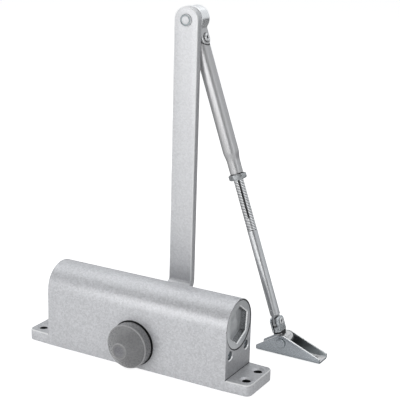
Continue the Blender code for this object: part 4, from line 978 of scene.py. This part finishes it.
def make_elbow_rivet():
    """A shouldered pin: a raised disc inside a sunk ring in front, a peened dome behind."""
    front = -(ARM_MIDDLE - ARM_THICKNESS / 2 - GAP)
    face = front + RIVET_HEAD_HEIGHT
    rear = -(BARREL_FRONT + BARREL_LENGTH + GAP)
    floor = face - RIVET_RING_DEPTH
    head = RIVET_HEAD_RADIUS
    stations = [
        (0.0012, rear - RIVET_HEAD_HEIGHT),
        (0.0026, rear - RIVET_HEAD_HEIGHT + 0.00012),
        *arc((head - 0.0005, rear - 0.0003), 0.0005, -80, 0, 4),
        (head, rear),
        (ELBOW_PIN_RADIUS, rear),
        (ELBOW_PIN_RADIUS, front),
        (head, front),
        *arc((head - 0.0002, face - 0.0003), 0.0002, 0, 90, 3),
        (RIVET_RING_RADIUS + 0.0001, face - 0.0001),
        (RIVET_RING_RADIUS - 0.0003, floor),
        (RIVET_DISC_RADIUS + 0.0001, floor),
        *arc((RIVET_DISC_RADIUS - 0.0003, face - 0.0003), 0.0003, 0, 90, 3),
        (0.0012, face),
    ]
    rivet = drawn("elbow_rivet_peened", stations)

    def is_ring(place, normal):
        across = place.xy.length
        return front < place.z < face - 0.00004 and RIVET_DISC_RADIUS < across < RIVET_RING_RADIUS + 0.00005

    matrix = ARM @ at((0, 0, ARM_LENGTH)) @ ALONG_Y.inverted()
    # The sunk ring gets a darker zinc as painted shade.
    finish_piece(rivet, matrix, "elbow_rivet", "zinc_steel", ARM_PAINT, (is_ring, SHADE_ZINC))


ARM_SCREW_HEAD = 0.0062
ARM_SCREW_HEIGHT = 0.0045
ARM_SCREW_SHANK = 0.0029
ARM_SCREW_TIP = 0.0166
ARM_SCREW_ROUND = 0.0009
ARM_SCREW_SOCKET = 0.005
ARM_SCREW_SOCKET_DEPTH = 0.0025
WASHER_RADIUS = 0.0078
WASHER_BORE_RADIUS = 0.0032
WASHER_THICKNESS = 0.0015
WASHER_EDGE = 0.00035


def make_arm_screw():
    """A low round head with a hexagon socket, over a washer with rolled edges."""
    head = ARM_SCREW_HEAD
    washer_front = ARM_FOOT_MIDDLE + ARM_THICKNESS / 2 + GAP
    washer_rear = washer_front + WASHER_THICKNESS
    under = washer_rear + GAP
    top = under + ARM_SCREW_HEIGHT
    stations = [
        (ARM_SCREW_SHANK - 0.0004, ARM_SCREW_TIP),
        (ARM_SCREW_SHANK, ARM_SCREW_TIP + 0.0004),
        (ARM_SCREW_SHANK, under),
        (head, under),
        *arc((head - ARM_SCREW_ROUND, top - ARM_SCREW_ROUND), ARM_SCREW_ROUND, 0, 80, 5),
        (0.0036, top),
    ]
    screw = drawn("arm_screw_head", stations)
    carve(screw, hex_cutter(ARM_SCREW_SOCKET, top - ARM_SCREW_SOCKET_DEPTH, top + 0.001))
    carve(screw, drawn("socket_lead", [(0.0026, top - 0.0004), (0.0036, top + 0.0006)], 32))
    finish_piece(screw, ARM @ ALONG_Y, "arm_screw", "zinc_steel", ZINC)
    flat = WASHER_RADIUS - WASHER_EDGE
    ring = [
        (WASHER_BORE_RADIUS, washer_front),
        (flat, washer_front),
        *arc((flat, washer_front + WASHER_EDGE), WASHER_EDGE, -60, 0, 2),
        *arc((flat, washer_rear - WASHER_EDGE), WASHER_EDGE, 0, 90, 3),
        (WASHER_BORE_RADIUS + 0.0002, washer_rear),
        (WASHER_BORE_RADIUS, washer_rear - 0.0002),
    ]
    washer = drawn("arm_washer_rolled", ring, ring=True)
    finish_piece(washer, ARM @ ALONG_Y, "arm_washer", "zinc_steel", ZINC)


# ---------------------------------------- elbow

BARREL_RADIUS = ARM_WIDTH / 2 - 0.0002
BARREL_RIM = 0.0006
FORK_REACH = (UPPER_PIN - ELBOW).length
FORK_HALF_WIDTH = 0.0056
FORK_RADIUS = 0.0057
FORK_SLOT_TOP = 0.0085
FORGING_GRAIN = 0.00032
TONGUE_HALF_THICKNESS = 0.0026
TONGUE_RADIUS = 0.0052
CROSS_BORE_RADIUS = 0.0023
KNUCKLE_SCREW_HEAD = 0.0033
SCREW_SHADE = 0.0006


def make_knuckle():
    """A forging: a barrel and a fork that run into each other with soft fillets, slotted and bored."""
    half = BARREL_LENGTH / 2
    flat = BARREL_RADIUS - BARREL_RIM
    stations = [
        (flat, -half),
        *arc((flat, BARREL_RIM - half), BARREL_RIM, -70, 0, 4),
        *arc((flat, half - BARREL_RIM), BARREL_RIM, 0, 90, 4),
    ]
    knuckle = drawn("elbow_knuckle_forged", stations, 64, ALONG_Y)
    bottom = -FORK_REACH - FORK_RADIUS
    fork = block("fork", (-FORK_HALF_WIDTH, -FORK_RADIUS, bottom), (FORK_HALF_WIDTH, FORK_RADIUS, 0))
    bevel(fork, running(X, FORK_HALF_WIDTH, below=-FORK_REACH), FORK_RADIUS - SEAM, 10)
    weld(knuckle, fork)
    apply(knuckle, "REMESH", mode="VOXEL", voxel_size=FORGING_GRAIN)
    apply(knuckle, "SMOOTH", factor=0.5, iterations=10)
    slot = TONGUE_HALF_THICKNESS + GAP
    carve(
        knuckle,
        block("fork_slot", (-slot, -THROUGH, bottom - 0.002), (slot, THROUGH, -FORK_SLOT_TOP)),
        through(ELBOW_HOLE_RADIUS, ALONG_Y),
        through(CROSS_BORE_RADIUS, at((0, 0, -FORK_REACH)) @ ALONG_X),
    )

    def in_slot(place, normal):
        return abs(place.x) < slot + NEAR / 2 and place.z < NEAR / 2 - FORK_SLOT_TOP and abs(normal.y) < 0.5

    def is_cheek(place, normal):
        return abs(place.x) > FORK_HALF_WIDTH - 0.0004 and abs(normal.x) > 0.7 and place.z < -FORK_SLOT_TOP

    def is_screw_shade(place, normal):
        around = math.hypot(place.y, place.z + FORK_REACH)
        return is_cheek(place, normal) and around < KNUCKLE_SCREW_HEAD + SCREW_SHADE

    # The slot is shaded; the cheeks get the tube's darker paint as painted shade, with a near-black ring of
    # painted shade round the screw head.
    zones = ((in_slot, RECESS), (is_cheek, TUBE_PAINT_AND_CHEEK_SHADE), (is_screw_shade, JOINT_SHADE))
    finish_piece(knuckle, KNUCKLE, "elbow_knuckle", "arm_paint", KNUCKLE_HIGHLIGHT_PAINT, *zones, degrees=40.0)


def rolled_head(well, head, start, height):
    """The stations of a rolled head, from its rim over its crown and down into its well."""
    middle = (well + head) / 2
    half = (head - well) / 2
    crown = []
    steps = 10
    for step in range(steps + 1):
        angle = math.pi * step / steps
        crown.append((middle + half * math.cos(angle), start + height * (0.25 + 0.75 * math.sin(angle))))
    return [(head, start), *crown, (well * 0.9, start - 0.0012)]


def make_cross_pin(node, matrix, reach, shank, head, height, well):
    """A tubular rivet across a fork, with a rolled head round a deep well at each end."""
    start = reach + GAP
    far = rolled_head(well, head - 0.0004, start, height * 0.7)
    near = rolled_head(well, head, start, height)
    stations = [*flipped(far), (shank, -start), (shank, start), *near]
    pin = drawn(f"{node}_rolled", stations, 40)

    def in_well(place, normal):
        return place.xy.length < well + 0.00001 and abs(place.z) > reach - 0.002

    finish_piece(pin, matrix @ ALONG_X, node, "zinc_steel", RIVET_ZINC, (in_well, RECESS))


# ---------------------------------------- forearm

TUBE_RADIUS = 0.0063
TUBE_END_RADIUS = 0.00525
TUBE_TOP = 0.0025
TUBE_EDGE = 0.0005
TUBE_NECK_START = 0.0895
TUBE_NECK_LENGTH = 0.0085
TUBE_LENGTH = 0.1078
TUBE_BORE_TOP = 0.0400
TUBE_SEAT_RADIUS = 0.0063
ROD_RADIUS = 0.0040
ROD_BORE_RADIUS = 0.0043


def make_tube():
    """A drawn tube: a tongue and two round seats at its top, and a swaged neck at its end."""
    neck = []
    steps = 8
    for step in range(steps + 1):
        share = step / steps
        ease = (1 - math.cos(math.pi * share)) / 2
        radius = TUBE_RADIUS + (TUBE_END_RADIUS - TUBE_RADIUS) * ease
        neck.append((radius, -TUBE_NECK_START - TUBE_NECK_LENGTH * share))
    stations = [
        (TUBE_RADIUS - TUBE_EDGE, -TUBE_TOP),
        *arc((TUBE_RADIUS - TUBE_EDGE, -TUBE_TOP - TUBE_EDGE), TUBE_EDGE, 60, 0, 3),
        *neck,
        (TUBE_END_RADIUS, 0.0003 - TUBE_LENGTH),
        (TUBE_END_RADIUS - 0.0003, -TUBE_LENGTH),
        (ROD_BORE_RADIUS + 0.0002, -TUBE_LENGTH),
        (ROD_BORE_RADIUS, 0.0003 - TUBE_LENGTH),
        (ROD_BORE_RADIUS, -TUBE_BORE_TOP),
    ]
    tube = drawn("forearm_tube_swaged", stations, 64)
    inside = TONGUE_HALF_THICKNESS - 0.0001
    for low, high in ((-THROUGH, -inside), (inside, THROUGH)):
        carve(tube, pin_cutter(TUBE_SEAT_RADIUS, low, high, ALONG_X, 64))
    reach = TONGUE_HALF_THICKNESS
    tongue = block("tongue", (-reach, -TONGUE_RADIUS, -0.012), (reach, TONGUE_RADIUS, TONGUE_RADIUS))
    bevel(tongue, running(X, reach, above=0.0), TONGUE_RADIUS - SEAM, 10)
    weld(tube, tongue)
    carve(tube, through(CROSS_BORE_RADIUS, ALONG_X))

    def is_seat(place, normal):
        outside = abs(place.x) > TONGUE_HALF_THICKNESS and place.z > -TUBE_SEAT_RADIUS - 0.0002
        return outside and abs(place.yz.length - TUBE_SEAT_RADIUS) < NEAR

    finish_piece(tube, FOREARM, "forearm_tube", "arm_paint", TUBE_PAINT_AND_CHEEK_SHADE, (is_seat, RECESS))


JAM_NUT_FLATS = 0.0123
JAM_NUT_TOP = -TUBE_LENGTH - 2 * GAP
JAM_NUT_THICKNESS = 0.0043
JAM_NUT_FALL = 0.00055
JAM_NUT_SEAT_RADIUS = TUBE_END_RADIUS + 0.0005


def make_jam_nut():
    """A thin hexagon nut, turned round at both faces."""
    bottom = JAM_NUT_TOP - JAM_NUT_THICKNESS
    corner = JAM_NUT_FLATS / math.sqrt(3)
    nut = hex_cutter(JAM_NUT_FLATS, bottom, JAM_NUT_TOP)
    nut.name = "jam_nut_chamfered"
    turned = [
        (corner - 0.0011, bottom - 0.0001),
        (corner - 0.0009, bottom),
        (corner + 0.00005, bottom + JAM_NUT_FALL),
        (corner + 0.00005, JAM_NUT_TOP - JAM_NUT_FALL),
        (corner - 0.0009, JAM_NUT_TOP),
        (corner - 0.0011, JAM_NUT_TOP + 0.0001),
    ]
    combine(nut, "INTERSECT", [drawn("turning", turned, 64)])
    soften(nut, 0.00022, 2, 28.0)
    mouth = [
        (ROD_BORE_RADIUS + 0.0006, bottom - 0.0002),
        (ROD_BORE_RADIUS, bottom + 0.0004),
        (ROD_BORE_RADIUS, JAM_NUT_TOP - 0.0004),
        (ROD_BORE_RADIUS + 0.0006, JAM_NUT_TOP + 0.0002),
    ]
    carve(nut, drawn("nut_thread", mouth, 40))
    seat = [(JAM_NUT_SEAT_RADIUS, JAM_NUT_TOP - 0.0004), (JAM_NUT_SEAT_RADIUS, JAM_NUT_TOP + 0.001)]
    carve(nut, drawn("nut_seat", seat))

    def is_seat(place, normal):
        return place.xy.length < JAM_NUT_SEAT_RADIUS + NEAR and place.z > JAM_NUT_TOP - 0.0006

    finish_piece(nut, FOREARM, "jam_nut", "zinc_steel", NUT_ZINC, (is_seat, RECESS))


ROD_TOP = 0.0600
ROD_TO_PIN = 0.0054
ROD_PIN = (LOWER_PIN - UPPER_PIN).length
ROD_EDGE = 0.0006
TANG_HALF_THICKNESS = 0.0011
TANG_FOOT_RADIUS = 0.0055
TANG_RADIUS = 0.0048
TANG_ROOT = 0.0110
TANG_SHOULDER = 0.0009
LOWER_CROSS_BORE = 0.0022
THREAD_PITCH = 0.00125
THREAD_DEPTH = 0.00050
THREAD_END = 0.1545
THREAD_STEPS = 28
GROOVE_WIDTH = 0.0016
GROOVE_DEPTH = 0.0010
GROOVE_START = 0.1105
GROOVE_END = 0.1446
GROOVE_TURN = math.radians(30.0)


def make_thread():
    """One ridge with a flat crest, wound down from the rod's top to the thread's run-out."""
    sunk = ROD_RADIUS - THREAD_DEPTH - 0.0002
    foot = THREAD_PITCH * 0.47
    flank = THREAD_PITCH * 0.19
    bpy.ops.mesh.primitive_plane_add(size=0.001, location=(sunk, 0, -foot))
    thread = named("thread")
    edit(thread)
    select_all("VERT")
    bpy.ops.mesh.merge(type="CENTER")
    for step in ((ROD_RADIUS - sunk, 0, flank), (0, 0, 2 * (foot - flank)), (sunk - ROD_RADIUS, 0, flank)):
        bpy.ops.mesh.extrude_vertices_move(TRANSFORM_OT_translate=by(step))
    select_all("VERT")
    bpy.ops.mesh.edge_face_add()
    bpy.ops.mesh.delete(type="ONLY_FACE")
    leave()
    turns = round((THREAD_END - ROD_TOP) / THREAD_PITCH)
    wind(thread, -THREAD_PITCH, turns, THREAD_STEPS, use_merge_vertices=True, merge_threshold=MERGE)
    return move(thread, at((0, 0, -ROD_TOP)))


def make_rod():
    """The adjusting rod: thread with a long milled groove, plain shank, and a tang flattened at its foot."""
    bottom = ROD_TO_PIN - ROD_PIN
    run_out = -THREAD_END
    core = ROD_RADIUS - THREAD_DEPTH
    stations = [
        (core - ROD_EDGE, -ROD_TOP),
        (core, -ROD_TOP - ROD_EDGE),
        (core, run_out + 0.0004),
        (ROD_RADIUS, run_out - 0.0004),
        (ROD_RADIUS, bottom + ROD_EDGE),
        (ROD_RADIUS - ROD_EDGE, bottom),
    ]
    rod = drawn("adjusting_rod_rolled", stations)
    half = TANG_HALF_THICKNESS
    low = (-half, -TANG_RADIUS, -ROD_PIN - TANG_RADIUS)
    tang = block("tang", low, (half, TANG_RADIUS, TANG_ROOT - ROD_PIN))
    bevel(tang, running(X, half, below=-ROD_PIN), TANG_RADIUS - SEAM, 10)
    bevel(tang, running(X, half, above=TANG_RADIUS - ROD_PIN), TANG_SHOULDER, 4)
    cross = at((0, 0, -ROD_PIN)) @ ALONG_X
    foot = pin_cutter(TANG_FOOT_RADIUS, -half, half, cross, 48)
    weld(rod, tang, foot, make_thread())
    width = GROOVE_WIDTH / 2
    low = (-width, -ROD_RADIUS - 0.002, -GROOVE_END)
    groove = block("groove", low, (width, GROOVE_DEPTH - ROD_RADIUS, -GROOVE_START))
    bevel(groove, running(Y, 0.001, below=-0.12), width - SEAM / 2, 6)
    carve(rod, move(groove, Matrix.Rotation(GROOVE_TURN, 4, "Z")))
    carve(rod, through(LOWER_CROSS_BORE, cross))

    def in_root(place, normal):
        return place.z > run_out and place.xy.length < ROD_RADIUS - NEAR

    def is_crest(place, normal):
        return place.z > run_out + 0.0004 and place.xy.length > ROD_RADIUS - NEAR

    # The thread's roots and the milled groove get near-black painted shade, and the crests a near-white
    # painted highlight.
    zones = ((in_root, THREAD_ROOT_SHADE), (is_crest, THREAD_CREST_HIGHLIGHT))
    finish_piece(rod, FOREARM, "adjusting_rod", "zinc_steel", ROD_ZINC, *zones)


# ---------------------------------------- clevis and shoe

CLEVIS_OFFSET = SHOE_PIVOT.y - LOWER_PIN.y
CLEVIS_REACH = (LOWER_PIN - SHOE_PIVOT).xz.length
SHOE_WIDTH = 0.0155
SHOE_SHEET = 0.0016
CLEVIS_BARREL_RADIUS = 0.0063
CLEVIS_BARREL_RIM = 0.0004
CLEVIS_HALF_THICKNESS = 0.0036
CLEVIS_HALF_WIDTH = 0.0056
CLEVIS_CORNER = 0.0034
CLEVIS_EDGE = 0.0004
CLEVIS_FOOT = 0.0096
CLEVIS_UNDERCUT_LOW = 0.0082
CLEVIS_UNDERCUT = 0.0006
CLEVIS_TOP = 0.0214
CLEVIS_SLOT = 0.0038
CLEVIS_SLOT_MOUTH = 0.0140
CLEVIS_VALLEY_RADIUS = 0.0058
CLEVIS_NECK_HALF_THICKNESS = 0.0024
CLEVIS_LINE_WIDTH = 0.0009
CLEVIS_LINE_DEPTH = 0.0014
SHOE_PIN_RADIUS = 0.0030


def make_clevis():
    """A short fork that stands ahead of its barrel and over the shoe's front wall."""
    half = SHOE_WIDTH / 2 - SHOE_SHEET - GAP
    rim = CLEVIS_BARREL_RIM
    barrel = [
        (CLEVIS_BARREL_RADIUS - rim, -half),
        (CLEVIS_BARREL_RADIUS, rim - half),
        (CLEVIS_BARREL_RADIUS, half - rim),
        (CLEVIS_BARREL_RADIUS - rim, half),
    ]
    clevis = drawn("rod_clevis_milled", barrel, 64, ALONG_Y)
    wide = CLEVIS_HALF_THICKNESS
    front = -CLEVIS_OFFSET - CLEVIS_HALF_WIDTH
    back = CLEVIS_HALF_WIDTH - CLEVIS_OFFSET
    lug = block("lug", (-wide, front, CLEVIS_FOOT), (wide, back, CLEVIS_TOP))
    bevel(lug, running(X, wide, above=CLEVIS_FOOT + 0.001), CLEVIS_CORNER, 10)
    soften(lug, CLEVIS_EDGE)
    neck = CLEVIS_NECK_HALF_THICKNESS
    stem = block("stem", (-neck, 0.0001 - half, 0), (neck, back - GAP, CLEVIS_FOOT + 0.001))
    inset = wide - CLEVIS_UNDERCUT
    low = (-inset, front + CLEVIS_UNDERCUT, CLEVIS_UNDERCUT_LOW)
    under = block("undercut", low, (inset, back - GAP, CLEVIS_FOOT + 0.0005))
    weld(clevis, lug, stem, under)
    slot = CLEVIS_SLOT / 2
    cross = at((0, -CLEVIS_OFFSET, CLEVIS_REACH)) @ ALONG_X
    line_end = (CLEVIS_LINE_WIDTH - slot, front + CLEVIS_LINE_DEPTH, CLEVIS_SLOT_MOUTH + 0.001)
    carve(
        clevis,
        block("clevis_slot", (-slot, -THROUGH, CLEVIS_SLOT_MOUTH), (slot, THROUGH, CLEVIS_TOP + 0.002)),
        pin_cutter(CLEVIS_VALLEY_RADIUS, -slot, slot, cross, 48),
        block("joint_line", (-slot, front - 0.001, 0), line_end),
        through(SHOE_PIN_RADIUS + GAP, ALONG_Y),
        through(LOWER_CROSS_BORE, cross),
    )

    def in_slot(place, normal):
        inside = abs(place.x) < slot + NEAR / 2 and place.y < back - 0.0002
        return inside and place.z > CLEVIS_FOOT and (abs(normal.y) < 0.5 or place.y > front + 0.0002)

    def is_barrel(place, normal):
        return abs(place.xz.length - CLEVIS_BARREL_RADIUS) < 0.0002

    def is_barrel_rim(place, normal):
        return abs(place.y) > half - rim and 0.3 < abs(normal.y) < 0.9 and place.z < CLEVIS_FOOT

    def is_stem(place, normal):
        below = place.z < CLEVIS_FOOT + NEAR and abs(place.x) < wide
        return below and place.xz.length > CLEVIS_BARREL_RADIUS + 0.0002

    # The slot, the groove up the left cheek, the barrel's rims, the stem, the undercut and the lug's
    # underside get near-black painted shade.
    zones = ((in_slot, RECESS), (is_barrel, BARREL_ZINC), (is_barrel_rim, RECESS), (is_stem, RECESS))
    finish_piece(clevis, CLEVIS, "rod_clevis", "zinc_steel", CLEVIS_ZINC, *zones)


SHOE_LEFT = 0.0220
SHOE_RIGHT = 0.0339
SHOE_LEFT_HEIGHT = 0.0040
SHOE_RIGHT_HEIGHT = 0.0041
SHOE_APEX_RADIUS = 0.0065
SHOE_EDGE = 0.00038
SHOE_HOLE_RADIUS = 0.0026
SHOE_HOLE_FROM_END = 0.0074
SHOE_FOLD = 0.0020


def slope_plane(x, height, sign):
    """A point and the outward normal of the plane from one end of the wall's top to the apex round."""
    start = Vector((x, height - SHOE_PIVOT.z))
    lift = math.asin(SHOE_APEX_RADIUS / start.length)
    along = Matrix.Rotation(sign * lift, 2) @ (-start).normalized()
    outward = Vector((-along.y, along.x)) * sign
    return (start.x, 0, start.y), (outward.x, 0, outward.y)


def make_shoe():
    """Folded sheet: two walls that rise to a round apex, and a floor with screw holes."""
    under = -SHOE_PIVOT.z
    floor = under + SHOE_SHEET
    wide = SHOE_WIDTH / 2
    top = SHOE_APEX_RADIUS + 0.004
    shoe = block("shoe_bracket_folded", (-SHOE_LEFT, -wide, under), (SHOE_RIGHT, wide, top))
    slopes = (slope_plane(-SHOE_LEFT, SHOE_LEFT_HEIGHT, 1), slope_plane(SHOE_RIGHT, SHOE_RIGHT_HEIGHT, -1))
    edit(shoe)
    for place, outward in slopes:
        bpy.ops.mesh.select_all(action="SELECT")
        bpy.ops.mesh.bisect(plane_co=place, plane_no=outward, use_fill=True, clear_outer=True)
    leave()
    crown = math.pi - Vector(slopes[0][1]).angle(Vector(slopes[1][1]))
    apex = SHOE_APEX_RADIUS / math.tan(crown / 2)
    bevel(shoe, running(Y, wide, above=SHOE_APEX_RADIUS), apex, 12)
    bevel(shoe, running(X, SHOE_RIGHT, below=under + 0.001), SHOE_FOLD, 6)
    inside = wide - SHOE_SHEET
    channel = block("channel", (-SHOE_LEFT - 0.002, -inside, floor), (SHOE_RIGHT + 0.002, inside, THROUGH))
    bevel(channel, running(X, SHOE_RIGHT, below=0.0), SHOE_FOLD - SHOE_SHEET)
    carve(shoe, channel)
    soften(shoe, SHOE_EDGE)
    carve(shoe, through(SHOE_PIN_RADIUS + GAP, ALONG_Y))
    for x in (SHOE_HOLE_FROM_END - SHOE_LEFT, SHOE_RIGHT - SHOE_HOLE_FROM_END):
        carve(shoe, pin_cutter(SHOE_HOLE_RADIUS, under - 0.002, 0, at((x, 0, 0))))

    def is_inner_wall(place, normal):
        return abs(normal.y) > 0.9 and abs(place.y) < inside + NEAR and place.x > 0

    def is_cut_edge(place, normal):
        return normal.z > 0.35 and abs(place.y) > inside - NEAR and place.z > floor + 0.0005

    def is_floor(place, normal):
        return normal.z > 0.9 and abs(place.z - floor) < NEAR

    def is_hole(place, normal):
        return abs(normal.z) < 0.2 and place.z < floor and abs(place.y) < SHOE_HOLE_RADIUS + NEAR

    # The inner walls' right half gets painted shade, darker towards the pivot and lighter towards the right
    # end; the cut top edges a painted highlight; the floor near-white painted light; the screw holes are
    # shaded.
    finish_piece(
        shoe,
        SHOE,
        "shoe_bracket",
        "zinc_steel",
        ZINC,
        (is_inner_wall, WALL_SHADE_ZINC),
        (is_cut_edge, HIGHLIGHT_ZINC),
        (is_floor, FLOOR_ZINC),
        (is_hole, RECESS),
    )


SHOE_RIVET_HEAD = 0.0040


def make_shoe_rivet():
    """A pin through both walls, with a low domed head at each end."""
    wall = SHOE_WIDTH / 2 + GAP
    head = SHOE_RIVET_HEAD
    face = wall + 0.0008
    dome = arc((head - 0.0004, face - 0.0005), 0.0004, 0, 70, 4)
    half = [(SHOE_PIN_RADIUS, wall), (head, wall), *dome, (0.0022, face)]
    rivet = drawn("shoe_rivet_domed", [*flipped(half), *half])

    def is_rim(place, normal):
        return place.xy.length > head - 0.0005 and abs(normal.z) < 0.9 and abs(place.z) > wall

    # The heads' rims get a darker zinc as painted shade.
    finish_piece(rivet, SHOE @ ALONG_Y, "shoe_rivet", "zinc_steel", ZINC, (is_rim, SHADE_ZINC))


# ---------------------------------------- stage

FLOOR_HEIGHT = -0.0005
FLOOR_SIZE = 8.0
FLOOR_GREY = 0.8
# How strongly the floor and the room shine: where they are seen, where they are mirrored, and elsewhere
FLOOR_SEEN = 0.80
FLOOR_MIRRORED = 0.42
FLOOR_DIMMED = 0.35
ROOM_SEEN = 1.05
ROOM_MIRRORED = 0.86
ROOM_FILL = 0.24
ROOM_COLOUR = (0.96, 0.98, 1.0, 1.0)
BRIGHT_FLOOR = Vector((0.0, -1.0, 0.0))
BRIGHT_FROM, BRIGHT_TO = -0.14, 0.06
DARK_WALL = Vector((0.0, -0.86, 0.51))
DARK_FROM, DARK_TO = 0.45, 0.85
LAMPS_FACE = Vector((0.0, 0.0, 0.08))
# The name, place, size and power of each lamp
LAMPS = (
    ("overhead", (-0.15, 0.20, 1.15), (1.9, 1.4), 6.2),
    ("front", (-0.20, -1.30, 0.38), (1.8, 0.66), 9.2),
    ("right", (1.15, -0.20, 0.32), (0.3, 0.5), 0.40),
)


def seen_directly(tree):
    """Two masks: rays that come straight from the camera or through clear matter, and rays off a mirror."""
    path = tree.nodes.new("ShaderNodeLightPath")
    seen = math_node(tree, "MAXIMUM", path.outputs["Is Camera Ray"], path.outputs["Is Transmission Ray"])
    return seen, path.outputs["Is Glossy Ray"]


def make_stage():
    """A plain pale floor that reads white, and that the metal mirrors bright in front and dim behind."""
    bpy.ops.mesh.primitive_plane_add(size=FLOOR_SIZE, location=(0, 0, FLOOR_HEIGHT))
    floor = named("floor")
    material, tree, shader = new_finish("pale_floor", 0.0, Roughness=0.9, Specular_IOR_Level=0.0)
    seen, glossy = seen_directly(tree)
    across = distance_along(tree, BRIGHT_FLOOR, object_place(tree))
    front = spread_to(tree, across, 0.0, 1.0, BRIGHT_FROM, BRIGHT_TO)
    dimmed = math_node(tree, "MULTIPLY", glossy, math_node(tree, "SUBTRACT", 1.0, front))
    pale = math_node(tree, "SUBTRACT", 1.0, math_node(tree, "MULTIPLY", dimmed, FLOOR_DIMMED))
    colour = shades(tree, pale, (0.0, 0.0, 0.0), (FLOOR_GREY, FLOOR_GREY, FLOOR_GREY))
    tree.links.new(colour, shader.inputs["Base Color"])
    mirrored = math_node(tree, "MULTIPLY", glossy, front)
    strength = weighted(tree, seen, FLOOR_SEEN, mirrored, FLOOR_MIRRORED)
    glow = add_node(tree, "Emission", {"Strength": strength})
    both = add_node(tree, "AddShader", {0: shader.outputs[0], 1: glow.outputs[0]})
    tree.links.new(both.outputs[0], tree.nodes["Material Output"].inputs["Surface"])
    floor.data.materials.append(material)


def make_lights():
    """A broad lamp above, a low one in front and a weak one on the right, in a pale room whose front wall is
    dark."""
    for name, place, size, power in LAMPS:
        data = bpy.data.lights.new(name, "AREA")
        data.shape = "RECTANGLE"
        data.size, data.size_y = size
        data.energy = power
        lamp = bpy.data.objects.new(name, data)
        bpy.context.scene.collection.objects.link(lamp)
        lamp.location = place
        lamp.rotation_euler = (LAMPS_FACE - Vector(place)).to_track_quat("-Z", "Y").to_euler()
    world = bpy.data.worlds.new("studio")
    bpy.context.scene.world = world
    world.use_nodes = True
    tree = world.node_tree
    background = tree.nodes["Background"]
    background.inputs["Color"].default_value = ROOM_COLOUR
    direction = tree.nodes.new("ShaderNodeTexCoord").outputs["Generated"]
    frontward = distance_along(tree, DARK_WALL, direction)
    room = spread_to(tree, frontward, ROOM_MIRRORED, 0.0, DARK_FROM, DARK_TO)
    seen, glossy = seen_directly(tree)
    mirrored = math_node(tree, "MULTIPLY", glossy, math_node(tree, "SUBTRACT", room, ROOM_FILL))
    direct = math_node(tree, "MULTIPLY", seen, ROOM_SEEN - ROOM_FILL)
    extra = math_node(tree, "ADD", direct, mirrored)
    tree.links.new(math_node(tree, "ADD", extra, ROOM_FILL), background.inputs["Strength"])


CAMERA_PLACE = Vector((0.4372, -0.6992, 0.3722))
CAMERA_YAW = math.radians(29.29)
CAMERA_PITCH = math.radians(16.33)
CAMERA_ROLL = math.radians(1.36)
CAMERA_LENS = 102.08
CAMERA_SENSOR = 36.0


def make_camera():
    data = bpy.data.cameras.new("camera")
    data.lens = CAMERA_LENS
    data.sensor_width = CAMERA_SENSOR
    data.clip_start = 0.05
    data.clip_end = 20.0
    camera = bpy.data.objects.new("camera", data)
    bpy.context.scene.collection.objects.link(camera)
    turn = Matrix.Rotation(CAMERA_YAW, 4, "Z") @ Matrix.Rotation(math.pi / 2 - CAMERA_PITCH, 4, "X")
    camera.matrix_world = at(CAMERA_PLACE) @ turn @ Matrix.Rotation(CAMERA_ROLL, 4, "Z")
    bpy.context.scene.camera = camera
    bpy.context.scene.view_settings.view_transform = "Standard"


# ---------------------------------------- the whole object

make_housing()
make_end_plug("end_plug_right", ALONG_X)
make_end_plug("end_plug_left", ALONG_MINUS_X)
make_cap()
make_spring()
make_arm()
make_elbow_rivet()
make_arm_screw()
make_knuckle()
make_cross_pin(
    "knuckle_screw",
    KNUCKLE @ at((0, 0, -FORK_REACH)),
    reach=FORK_HALF_WIDTH,
    shank=0.0020,
    head=KNUCKLE_SCREW_HEAD,
    height=0.0015,
    well=0.0012,
)
make_tube()
make_jam_nut()
make_rod()
make_clevis()
make_cross_pin(
    "clevis_screw",
    CLEVIS @ at((0, -CLEVIS_OFFSET, CLEVIS_REACH)),
    reach=CLEVIS_HALF_THICKNESS,
    shank=0.0019,
    head=0.0029,
    height=0.0009,
    well=0.0011,
)
make_shoe()
make_shoe_rivet()

# The nodes that keep their own shape
ZINC_NODES = ("cover_nut", "elbow_washer", "closing_valve", "latching_valve")
BEARING_NODES = ("pinion_spindle", "bearing_front", "bearing_rear")
PISTON_NODES = ("piston", "check_valve_ball", "check_valve_seat")
SHAFT_AND_PLUG_SEALS = ("shaft_seal_front", "shaft_seal_rear", "plug_seal_right", "plug_seal_left")
OTHER_SEALS = ("piston_seal", "closing_valve_seal", "latching_valve_seal")
for finish, nodes in (
    (ZINC, ZINC_NODES),
    (STEEL, BEARING_NODES + PISTON_NODES),
    (RUBBER, SHAFT_AND_PLUG_SEALS + OTHER_SEALS),
):
    for name in nodes:
        data = frame["nodes"][name].data
        data.materials.clear()
        data.materials.append(finish)

make_stage()
make_lights()
make_camera()
